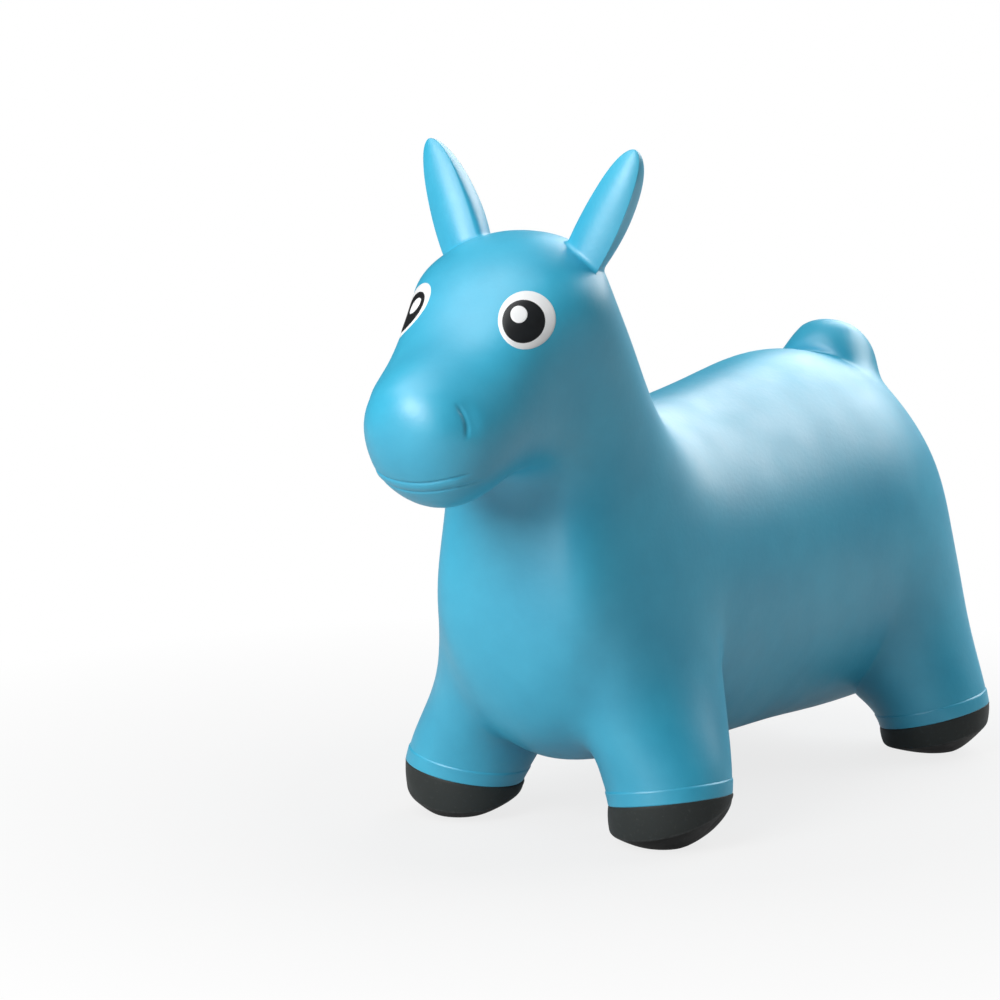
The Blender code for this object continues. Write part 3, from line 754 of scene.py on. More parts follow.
@dataclass
class MouldedForm:
    """Outer form of the toy: body, legs, tail, head and muzzle drawn as one smooth skin."""

    front_y: float = -0.105
    rear_y: float = 0.2515
    front_spread: float = 0.088
    rear_spread: float = 0.102
    front_rake_deg: float = -6.0
    rear_rake_deg: float = -0.7
    front_toe: float = 0.0094
    rear_toe: float = -0.0015
    leg_half_span: float = 0.055
    breast_rise: float = 0.008
    rump_rise: float = 0.008
    seat: float = 0.303
    belly: float = 0.024
    half_width: float = 0.112
    shoulder: float = 0.085
    head_height: float = 0.408
    crown_rise: float = 0.022
    crown_shift: float = 0.20
    nose_rise: float = 0.012
    tail_rise: float = 0.010
    body_sides: int = 12
    cage_level: int = 2
    relax_rounds: int = 5
    relax_share: float = 0.5
    floor_gap: float = 0.0005

    def stations(self) -> tuple[Station, ...]:
        """List the cross-sections of the body.

        Returns:
            The stations from the breast to the rump.
        """
        front, rear, span = self.front_y, self.rear_y, self.leg_half_span
        belly, seat, wide, chest = self.belly, self.seat, self.half_width, self.shoulder
        return (
            Station(front - 0.077, chest - 0.027, belly + 0.089, seat - 0.062, 1.0),
            Station(front - span, chest - 0.0115, belly + 0.036, seat - 0.028, 1.28),
            Station(front, chest, belly + 0.020, seat - 0.012, 1.24),
            Station(front + span, chest + 0.006, belly + 0.017, seat - 0.011, 0.95),
            Station(front + 0.115, chest + 0.011, belly + 0.010, seat - 0.016, 0.79),
            Station(rear - 0.1275, wide - 0.0095, belly + 0.010, seat - 0.003, 0.86),
            Station(rear - span - 0.0065, wide, belly + 0.0035, seat + 0.008, 0.98),
            Station(rear - 0.008, wide - 0.0035, belly + 0.007, seat - 0.0085, 1.1),
            Station(rear + 0.038, wide - 0.015, belly + 0.040, seat - 0.035, 1.09),
            Station(rear + 0.055, wide - 0.0605, belly + 0.091, seat - 0.067, 1.0),
        )

    def head(self) -> list[HoopFrame]:
        """Place the neck and head.

        Returns:
            Their hoops, from the shoulders up.
        """
        front, top = self.front_y, self.head_height
        return [hoop.frame() for hoop in (
            Hoop(front - 0.0195, self.seat - 0.0185, 0.071, 0.0703, 19.0),
            Hoop(front - 0.040, top - 0.075, 0.0708, 0.064, 15.0),
            Hoop(front - 0.0763, top - 0.0283, 0.0755, 0.0628, 9.0),
            Hoop(front - 0.0647, top - 0.0034, 0.060, 0.0523, 2.5))]

    def muzzle(self) -> list[HoopFrame]:
        """Place the muzzle.

        Returns:
            Its hoops, from the face to the nose.
        """
        front, top = self.front_y, self.head_height
        return [hoop.frame() for hoop in (
            Hoop(front - 0.131, top - 0.0957, 0.0572, 0.0516, -56.0),
            Hoop(front - 0.1704, top - 0.1168, 0.0515, 0.0555, -64.0),
            Hoop(front - 0.1945, top - 0.1216, 0.032, 0.0377, -68.0))]

    def tail(self) -> list[HoopFrame]:
        """Place the tail stub.

        Returns:
            Its hoops, from the rump out.
        """
        return [hoop.frame() for hoop in (
            Hoop(self.rear_y + 0.010, self.seat - 0.0193, 0.0383, 0.0404, -27.0),
            Hoop(self.rear_y + 0.0265, self.seat + 0.0055, 0.030, 0.0285, -40.0))]

    def legs(self) -> list[Leg]:
        """Place the legs.

        Returns:
            The four legs, front pair first.
        """
        return [Leg(end, side, spread, y, rake, toe) for end, spread, y, rake, toe in (
            (End.FRONT, self.front_spread, self.front_y, self.front_rake_deg, self.front_toe),
            (End.REAR, self.rear_spread, self.rear_y, self.rear_rake_deg, self.rear_toe)) for side in Side]

    def body_ring(self, cage: Cage, station: Station) -> list[int]:
        """Add the ring of one body station.

        Args:
            cage: The cage that it is added to.
            station: The cross-section.

        Returns:
            The numbers of its points; the first is the top.
        """
        grow = swell(self.body_sides)
        middle = 0.5 * (station.underside + station.top)
        half_height = 0.5 * (station.top - station.underside) * grow
        ring = []
        for step in range(self.body_sides):
            turn = 2.0 * math.pi * step / self.body_sides
            reach = math.sin(turn)
            if math.cos(turn) < 0.0:
                reach = math.copysign(abs(reach) ** station.belly_roundness, reach)
            ring.append(cage.add(Vector((station.half_width * grow * reach, station.y,
                                         middle + half_height * math.cos(turn)))))
        return ring

    def close_body(self, cage: Cage, ring: Sequence[int], station: Station, rise: float) -> None:
        """Close one end of the body with a low dome.

        Args:
            cage: The cage of the body.
            ring: Points of the end's ring.
            station: Cross-section of the end.
            rise: Height of the dome; negative towards the front.
        """
        sides = ((10, 11, 0, 1, 2), (9, None, None, None, 3), (8, 7, 6, 5, 4))
        patch = [[None if column is None else ring[column] for column in row] for row in sides]
        loop = [patch[row][column] for row, column in rim_cells(patch)]
        middle = Vector((0.0, station.y, 0.5 * (station.underside + station.top)))
        spot = HoopFrame(middle, Vector((station.half_width, 0.0, 0.0)),
                         Vector((0.0, 0.0, -0.5 * (station.top - station.underside))))
        cage.close(patch, loop, spot, Vector((0.0, rise, 0.0)), abs(rise))

    def cage(self) -> Cage:
        """Draw the control cage of the whole form.

        Returns:
            The cage.
        """
        cage = Cage()
        stations = self.stations()
        rings = [self.body_ring(cage, station) for station in stations]

        def patch_of(first: int, last: int, columns: Sequence[int]) -> Cells:
            """Points of a patch of the body."""
            return [[rings[row][column] for column in columns] for row in range(first, last + 1)]

        def cells_of(patch: Cells) -> set[frozenset[int]]:
            """Take a patch apart into its cells.

            Args:
                patch: The patch.

            Returns:
                Corner points of each cell.
            """
            return {frozenset((patch[row][column], patch[row][column + 1],
                               patch[row + 1][column + 1], patch[row + 1][column]))
                    for row in range(len(patch) - 1) for column in range(len(patch[0]) - 1)}

        leg_columns = {Side.LEFT: (3, 4, 5), Side.RIGHT: (9, 8, 7)}
        leg_rings = {End.FRONT: (1, 3), End.REAR: (6, 8)}
        neck = patch_of(0, 3, (10, 11, 0, 1, 2))
        tail = patch_of(7, 9, (11, 0, 1))
        legs = self.legs()
        hips = [patch_of(*leg_rings[leg.end], leg_columns[leg.side]) for leg in legs]
        for here, there in zip(rings, rings[1:]):
            cage.bridge(here, there)
        cage.drop(set().union(*(cells_of(patch) for patch in (neck, tail, *hips))))
        self.close_body(cage, rings[0], stations[0], -self.breast_rise)
        self.close_body(cage, rings[-1], stations[-1], self.rump_rise)
        for leg, hip in zip(legs, hips):
            cage.grow(hip, leg.hoops(), 0.0)
        cage.grow(tail, self.tail(), self.tail_rise)
        head_rings = cage.grow(neck, self.head(), self.crown_rise, self.crown_shift)
        face = [ring[:len(neck[0])] for ring in reversed(head_rings[1:4])]
        cage.drop(cells_of(face))
        cage.grow(face, self.muzzle(), self.nose_rise)
        return cage

    def smooth(self, name: str, level: int) -> bpy.types.Object:
        """Make the smooth form as an object.

        Args:
            name: Name of the object.
            level: How often the relaxed cage is divided.

        Returns:
            An object whose mesh is the form, standing on the floor.
        """
        work = bpy.data.objects.new(name, self.cage().mesh(name))
        bpy.context.scene.collection.objects.link(work)
        for kind, count in (("SUBSURF", self.cage_level), ("SMOOTH", self.relax_rounds), ("SUBSURF", level)):
            step = work.modifiers.new(kind.lower(), kind)
            if kind == "SUBSURF":
                step.levels = count
                step.render_levels = count
            else:
                step.factor = self.relax_share
                step.iterations = count
        settle(work)
        places = mesh_points(work.data)
        places[:, 2] = np.maximum(places[:, 2], self.floor_gap)
        set_points(work.data, places)
        work.data.shade_smooth()
        return work


def settle(item: bpy.types.Object) -> None:
    """Turn an object's modifiers into its plain mesh.

    Args:
        item: The object, which keeps its name and place.
    """
    bpy.context.view_layer.update()
    result = bpy.data.meshes.new_from_object(item.evaluated_get(bpy.context.evaluated_depsgraph_get()))
    old = item.data
    item.modifiers.clear()
    item.data = result
    result.name = item.name
    bpy.data.meshes.remove(old)


def mesh_points(mesh: bpy.types.Mesh) -> np.ndarray:
    """Read where a mesh's vertices are.

    Args:
        mesh: The mesh.

    Returns:
        Their places, one row each.
    """
    places = np.empty(len(mesh.vertices) * 3)
    mesh.vertices.foreach_get("co", places)
    return places.reshape(-1, 3)


def set_points(mesh: bpy.types.Mesh, places: np.ndarray) -> None:
    """Move a mesh's vertices to new places."""
    mesh.vertices.foreach_set("co", places.ravel())
    mesh.update()


def smoothstep(low: float, high: float, value: np.ndarray | float) -> np.ndarray:
    """Share from 0 at low to 1 at high with flat ends."""
    share = np.clip((np.asarray(value, float) - low) / (high - low), 0.0, 1.0)
    return share * share * (3.0 - 2.0 * share)


def piece_of(name: str, work: bmesh.types.BMesh, material: bpy.types.Material) -> bpy.types.Object:
    """Turn a work mesh into a finished, smooth shaded piece.

    Args:
        name: Name of the piece.
        work: The mesh, which is used up.
        material: Its finish.

    Returns:
        The piece, at the origin.
    """
    bmesh.ops.recalc_face_normals(work, faces=work.faces)
    mesh = bpy.data.meshes.new(name)
    work.to_mesh(mesh)
    work.free()
    mesh.shade_smooth()
    mesh.materials.append(material)
    piece = bpy.data.objects.new(name, mesh)
    bpy.context.scene.collection.objects.link(piece)
    return piece


def loft(work: bmesh.types.BMesh, rings: Sequence[Sequence[bmesh.types.BMVert]]) -> None:
    """Join rings of one count with faces.

    Args:
        work: The mesh that the rings are in.
        rings: The rings in order; a ring that is one point over and over closes an end.
    """
    for here, there in zip(rings, rings[1:]):
        for step, after in enumerate((*range(1, len(here)), 0)):
            corners = dict.fromkeys((here[step], here[after], there[after], there[step]))
            if len(corners) > 2:
                work.faces.new(list(corners))


def middle_of(ring: Sequence[bmesh.types.BMVert]) -> Vector:
    """Middle of a ring of points."""
    return sum((vert.co for vert in ring), Vector()) / len(ring)


def report(piece: bpy.types.Object) -> None:
    """Log one finished piece."""
    LOG.info("%s: %d faces", piece.name, len(piece.data.polygons))


class Probe:
    """Finely divided copy of the form, which finds places on its surface."""

    def __init__(self, form: MouldedForm, level: int = 2) -> None:
        """Make the fine copy and its search tree.

        Args:
            form: The form.
            level: How often its relaxed cage is divided.
        """
        self.item = form.smooth("form_probe", level)
        self.item.hide_render = True
        self.tree = BVHTree.FromObject(self.item, bpy.context.evaluated_depsgraph_get())

    def cast(self, start: Vector, direction: Vector) -> tuple[Vector, Vector]:
        """Find the first place on the form along a line.

        Args:
            start: Where the line starts.
            direction: Where it goes.

        Returns:
            The place, and the form's outward direction there.
        """
        place, normal, _, _ = self.tree.ray_cast(start, direction)
        if place is None:
            raise ValueError(f"no surface from {tuple(start)} along {tuple(direction)}")
        return place, normal

    def under(self, place: Vector, depth: float = 0.0) -> Vector:
        """Nearest place on the form, or so far below its surface there."""
        foot, normal, _, _ = self.tree.find_nearest(place)
        return foot - normal * depth

    def height(self, place: Vector) -> float:
        """Height of a place above the form; below it the height is negative."""
        foot, normal, _, _ = self.tree.find_nearest(place)
        return (place - foot).dot(normal)

    def remove(self) -> None:
        """Delete the fine copy."""
        mesh = self.item.data
        bpy.data.objects.remove(self.item)
        bpy.data.meshes.remove(mesh)


class Relief(Protocol):
    """A moulded detail of the skin."""

    def near(self, places: np.ndarray, reach: float) -> np.ndarray:
        """Which places lie within reach of the detail."""

    def shaped(self, places: np.ndarray, normals: np.ndarray) -> np.ndarray:
        """The places once the detail is pressed into them."""


@dataclass(frozen=True)
class Groove:
    """A line pressed into the skin that fades at its ends; a negative depth stands proud."""

    path: np.ndarray
    depth: float
    half_width: float
    fade: float = 0.18

    def measure(self, places: np.ndarray) -> tuple[np.ndarray, np.ndarray]:
        """Measure places against the line.

        Args:
            places: The places, one row each.

        Returns:
            Distance of each from the line, and its share of the line's length.
        """
        starts = self.path[:-1]
        steps = self.path[1:] - starts
        lengths = np.linalg.norm(steps, axis=1)
        before = np.concatenate([[0.0], np.cumsum(lengths)])
        best = np.full(len(places), np.inf)
        share = np.zeros(len(places))
        for start, step, length, done in zip(starts, steps, lengths, before):
            along = np.clip((places - start) @ step / length ** 2, 0.0, 1.0)
            gap = np.linalg.norm(places - start - along[:, None] * step, axis=1)
            closer = gap < best
            best[closer] = gap[closer]
            share[closer] = (done + along[closer] * length) / before[-1]
        return best, share

    def near(self, places: np.ndarray, reach: float) -> np.ndarray:
        """Which places lie within reach of the line."""
        return self.measure(places)[0] < reach + self.half_width

    def shaped(self, places: np.ndarray, normals: np.ndarray) -> np.ndarray:
        """Press the line in.

        Args:
            places: Places on the skin, one row each.
            normals: The outward direction at each.

        Returns:
            The new places.
        """
        gap, share = self.measure(places)
        ends = smoothstep(0.0, self.fade, share) * smoothstep(0.0, self.fade, 1.0 - share)
        press = self.depth * ends * np.exp(-(gap / self.half_width) ** 2)
        return places - normals * press[:, None]


@dataclass(frozen=True)
class Pocket:
    """A round recess in the skin; it reaches so many depths to either side of its centre."""

    centre: Vector
    axis: Vector
    radius: float
    depth: float
    edge: float = 0.0005
    depths: float = 4.0

    def spread_of(self, places: np.ndarray) -> np.ndarray:
        """Measure places against the recess.

        Args:
            places: The places, one row each.

        Returns:
            Distance of each from the recess's axis; far for places on the other side of the toy.
        """
        gaps = places - np.array(self.centre)
        along = gaps @ np.array(self.axis)
        away = np.linalg.norm(gaps - along[:, None] * np.array(self.axis), axis=1)
        return np.where(np.abs(along) < self.depths * self.depth, away, np.inf)

    def near(self, places: np.ndarray, reach: float) -> np.ndarray:
        """Which places lie about the recess."""
        return self.spread_of(places) < self.radius + reach

    def shaped(self, places: np.ndarray, normals: np.ndarray) -> np.ndarray:
        """The places with the recess pressed in."""
        share = 1.0 - smoothstep(self.radius - self.edge, self.radius + self.edge, self.spread_of(places))
        return places - share[:, None] * np.array(self.axis) * self.depth


@dataclass
class Skin:
    """The blown-up skin of body, legs, tail and head, with its moulded face lines."""

    form: MouldedForm
    probe: Probe
    level: int = 1
    look_from: float = 0.6
    mouth_reach: float = 0.041
    mouth_steps: int = 49
    mouth_lines: tuple[tuple[float, float, float, float], ...] = (
        (0.2693, 5.0, 0.0010, 0.0010), (0.2626, 5.0, 0.0010, 0.0010), (0.2660, 5.0, -0.0004, 0.0026))
    nostril: tuple[tuple[float, float, float], ...] = (
        (0.0330, -0.2921, 0.3243), (0.0370, -0.2902, 0.3198), (0.0402, -0.2886, 0.3140),
        (0.0414, -0.2884, 0.3085), (0.0411, -0.2893, 0.3029), (0.0398, -0.2908, 0.3000))
    nostril_depth: float = 0.0010
    nostril_half_width: float = 0.0020
    nostril_fade: float = 0.3
    nostril_steps: int = 25
    nostril_overrun: float = 0.04
    hollow_depth: float = 0.0010
    hollow_half_width: float = 0.0055
    hollow_fade: float = 0.4
    hollow_shift: float = 0.0040
    valve_height: float = 0.175
    valve_radius: float = 0.0093
    valve_depth: float = 0.0045
    refine_reaches: tuple[float, float] = (0.006, 0.0028)
    refine_cuts: int = 2
    foot_reach: float = 0.062
    foot_shrink: float = 0.35
    foot_depth: float = 0.010
    foot_ease: float = 0.3
    blend_start: float = 0.040
    blend_end: float = 0.105

    def mouth_path(self, height: float, curve: float) -> np.ndarray:
        """Lay one mouth line across the front of the muzzle.

        Args:
            height: Height of its middle.
            curve: How fast its ends rise.

        Returns:
            Places along it.
        """
        path = []
        for x in np.linspace(-self.mouth_reach, self.mouth_reach, self.mouth_steps):
            start = Vector((x, -self.look_from, height + curve * x * x))
            path.append(self.probe.cast(start, Vector((0.0, 1.0, 0.0)))[0])
        return np.array(path)

    def nostril_path(self, side: Side, back: float) -> np.ndarray:
        """Lay one nostril's crescent.

        Args:
            side: Which nostril.
            back: How far it is moved back along the cheek.

        Returns:
            Places along it.
        """
        scuffs_and_rim_highlight = np.array(self.nostril)
        share = np.linspace(0.0, 1.0, len(scuffs_and_rim_highlight))
        curves = [np.polyfit(share, scuffs_and_rim_highlight[:, axis], 3) for axis in range(3)]
        path = []
        for step in np.linspace(-self.nostril_overrun, 1.0 + self.nostril_overrun, self.nostril_steps):
            x, y, z = (np.polyval(curve, step) for curve in curves)
            path.append(self.probe.under(Vector((side.value * x, y + back, z))))
        return np.array(path)

    def valve_place(self) -> Vector:
        """Where the air valve meets the skin on the rump."""
        start = Vector((0.0, self.look_from, self.valve_height))
        return self.probe.cast(start, Vector((0.0, -1.0, 0.0)))[0]

    def reliefs(self) -> list[Relief]:
        """List the moulded details of the skin.

        Returns:
            Mouth lines, nostrils and the recess of the valve.
        """
        found: list[Relief] = [Groove(self.mouth_path(height, curve), depth, half_width)
                               for height, curve, depth, half_width in self.mouth_lines]
        for side in Side:
            found.append(Groove(self.nostril_path(side, self.hollow_shift), self.hollow_depth,
                                self.hollow_half_width, self.hollow_fade))
            found.append(Groove(self.nostril_path(side, 0.0), self.nostril_depth,
                                self.nostril_half_width, self.nostril_fade))
        found.append(Pocket(self.valve_place(), Vector((0.0, 1.0, 0.0)), self.valve_radius, self.valve_depth))
        return found

    def refine(self, work: bmesh.types.BMesh, reliefs: Sequence[Relief]) -> None:
        """Divide the faces about the details, and lay the new points on the form.

        Args:
            work: Mesh of the skin.
            reliefs: The details.
        """
        coarse = len(work.verts)
        for reach in self.refine_reaches:
            middles = np.array([face.calc_center_median() for face in work.faces])
            chosen = np.zeros(len(middles), bool)
            for relief in reliefs:
                chosen |= relief.near(middles, reach)
            edges = {edge for face, inside in zip(work.faces, chosen) if inside for edge in face.edges}
            bmesh.ops.subdivide_edges(work, edges=list(edges), cuts=self.refine_cuts, use_grid_fill=True)
        work.verts.ensure_lookup_table()
        for vert in work.verts[coarse:]:
            vert.co = self.probe.under(vert.co)

    def draw_in_feet(self, places: np.ndarray) -> np.ndarray:
        """Draw the feet in, so that each hoof hides the end of its leg.

        Args:
            places: Places on the skin, one row each.

        Returns:
            The new places.
        """
        places = places.copy()
        for leg in self.form.legs():
            top, normal = (np.array(part) for part in leg.paint_edge()[:2])
            gaps = places - top
            below = -(gaps @ normal)
            flat = gaps + below[:, None] * normal
            foot = (below > 0.0) & (np.linalg.norm(flat, axis=1) < self.foot_reach)
            shrink = 1.0 - self.foot_shrink * smoothstep(0.0, self.foot_ease * self.foot_depth, below[foot])
            drop = np.minimum(below[foot], self.foot_depth)
            places[foot] = top + flat[foot] * shrink[:, None] - normal * drop[:, None]
        return places

    def build(self, finishes: Finishes) -> bpy.types.Object:
        """Build and dress the skin.

        Args:
            finishes: The toy's materials.

        Returns:
            The finished piece.
        """
        base = self.form.smooth("skin_base", self.level)
        work = bmesh.new()
        work.from_mesh(base.data)
        bpy.data.objects.remove(base)
        reliefs = self.reliefs()
        self.refine(work, reliefs)
        work.normal_update()
        places = np.array([vert.co for vert in work.verts])
        normals = np.array([vert.normal for vert in work.verts])
        for relief in reliefs:
            places = relief.shaped(places, normals)
        for vert, place in zip(work.verts, self.draw_in_feet(places)):
            vert.co = place
        skin = piece_of("skin", work, finishes.vinyl)
        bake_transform(skin)
        legs = [f"{leg.name}_leg" for leg in self.form.legs()]
        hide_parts("barrel", "head", "tail", *legs)
        report(skin)
        return skin


@dataclass
class Ear:
    """A leaf-shaped hollow grip: gently rounded front, crisp rim and deep rounded back."""

    side: Side
    probe: Probe
    root: tuple[float, float, float] = (0.045, -0.149, 0.401)
    tip: tuple[float, float, float] = (0.085, -0.142, 0.4835)
    length: float = 0.0885
    buried: float = 0.010
    half_width: float = 0.0146
    front_bulge: float = 0.0042
    back_depth: float = 0.0310
    back_power: float = 2.2
    width_taper: tuple[float, float] = (4.2, 0.55)
    depth_taper: tuple[float, float] = (2.6, 0.60)
    front_set: float = -0.0152
    front_lean: float = 0.065
    waist: float = 0.16
    waist_end: float = 0.040
    flare: float = 0.30
    flare_end: float = 0.075
    fillet: float = 0.0036
    sunk: float = 0.0001
    skirt: float = 1.6
    skirt_sunk: float = 8.0
    point: float = 0.0002
    fillet_rows: int = 10
    rim_rounds: int = 9
    bend_start: float = 0.014
    bend_end: float = 0.066
    rows: int = 64
    sectors: int = 144
    outline_count: int = 320
    search_rounds: int = 22
    search_reach: float = 0.6
    tip_gap: float = 0.4

    def axes(self) -> tuple[Vector, Vector, Vector, Vector]:
        """Place the ear on its side.

        Returns:
            Its root and the directions along, across and through it; through points back.
        """
        hand = Vector((self.side.value, 1.0, 1.0))
        root = Vector(self.root) * hand
        axis = (Vector(self.tip) * hand - root).normalized()
        across = flatten(Vector((1.0, 0.0, 0.0)), axis)
        return root, axis, across, axis.cross(across)

    def section(self, height: float) -> np.ndarray:
        """Outline of the ear at one height above its root.

        Args:
            height: Distance from the root along the ear.

        Returns:
            Across and through of each point, once round.
        """
        share = min(max(height / self.length, 0.0), 1.0)
        waist = 1.0 - self.waist * max(1.0 - height / self.waist_end, 0.0) ** 2
        wide = self.half_width * (1.0 - share ** self.width_taper[0]) ** self.width_taper[1] * waist
        deep = self.back_depth * (1.0 - share ** self.depth_taper[0]) ** self.depth_taper[1] * waist
        bulge = self.front_bulge * wide / self.half_width
        half = self.sectors // 2
        turn = np.pi * (np.arange(half) + 0.5) / half
        flare = 1.0 + self.flare * max(1.0 - height / self.flare_end, 0.0)
        across = wide * np.cos(turn)
        across = np.where(across * self.side.value < 0.0, across * flare, across)
        back = deep * (1.0 - np.abs(np.cos(turn)) ** self.back_power) ** (1.0 / self.back_power)
        front = -bulge * (1.0 - np.cos(turn) ** 2)
        ring = np.column_stack([np.concatenate([across, -across]), np.concatenate([back, front])])
        for _ in range(self.rim_rounds):
            ring = 0.25 * np.roll(ring, 1, axis=0) + 0.5 * ring + 0.25 * np.roll(ring, -1, axis=0)
        ring[:, 1] += self.front_set + self.front_lean * height
        return ring

    def __post_init__(self) -> None:
        """Draw the outlines that the sides of the ear are read from."""
        self.steps = self.length - (self.length + self.buried) * np.linspace(
            1.0, 0.0, self.outline_count) ** 2
        self.outlines = np.array([self.section(height) for height in self.steps])

    def place(self, height: float, sector: int) -> Vector:
        """Find a place on the ear.

        Args:
            height: Distance from the root along the ear.
            sector: Which side of the ear.

        Returns:
            The place.
        """
        root, axis, across, through = self.axes()
        wide, deep = (float(np.interp(height, self.steps, self.outlines[:, sector, side])) for side in (0, 1))
        return root + axis * height + across * wide + through * deep

    def height_above(self, gap: float, sector: int) -> float:
        """Find where one side of the ear stands so far off the head.

        Args:
            gap: The distance.
            sector: Which side of the ear.

        Returns:
            The height on the ear.
        """
        low = -self.buried
        high = self.search_reach * self.length
        for _ in range(self.search_rounds):
            middle = 0.5 * (low + high)
            if self.probe.height(self.place(middle, sector)) < gap:
                low = middle
            else:
                high = middle
        return high

    def column(self, sector: int) -> list[Vector]:
        """Places up one side of the ear, from inside the head through a fillet to the tip.

        Args:
            sector: Which side of the ear.

        Returns:
            The places, the same number for each side.
        """
        root, axis, _, _ = self.axes()
        bend = self.place(self.height_above(0.0, sector), sector)
        start = self.height_above(self.fillet, sector)
        wall = self.place(start, sector)
        out = flatten(bend - (root + axis * (bend - root).dot(axis)), axis)
        foot = self.probe.under(bend + out * self.fillet, self.sunk)
        skirt = self.probe.under(bend + out * self.skirt * self.fillet, self.skirt_sunk * self.sunk)
        places = [self.probe.under(bend, self.buried), skirt]
        for row in range(self.fillet_rows):
            share = row / self.fillet_rows
            places.append(foot.lerp(bend, share).lerp(bend.lerp(wall, share), share))
        for row in range(self.rows):
            rise = math.sin(0.5 * math.pi * row / (self.rows - self.tip_gap))
            places.append(self.place(start + (self.length - start) * rise, sector))
        return places

    def build(self, finishes: Finishes) -> bpy.types.Object:
        """Build and dress the ear.

        Args:
            finishes: The toy's materials.

        Returns:
            The finished piece.
        """
        root, axis, _, _ = self.axes()
        work = bmesh.new()
        columns = [self.column(sector) for sector in range(self.sectors)]
        rings = [[work.verts.new(column[row]) for column in columns] for row in range(len(columns[0]))]
        base = work.verts.new(middle_of(rings[0]))
        point = work.verts.new(middle_of(rings[-1]) + axis * self.point)
        loft(work, [[base] * self.sectors, *rings, [point] * self.sectors])
        ear = piece_of(f"{self.side.label}_ear_grip", work, finishes.vinyl)
        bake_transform(ear)
        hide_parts(f"{self.side.label}_ear")
        report(ear)
        return ear


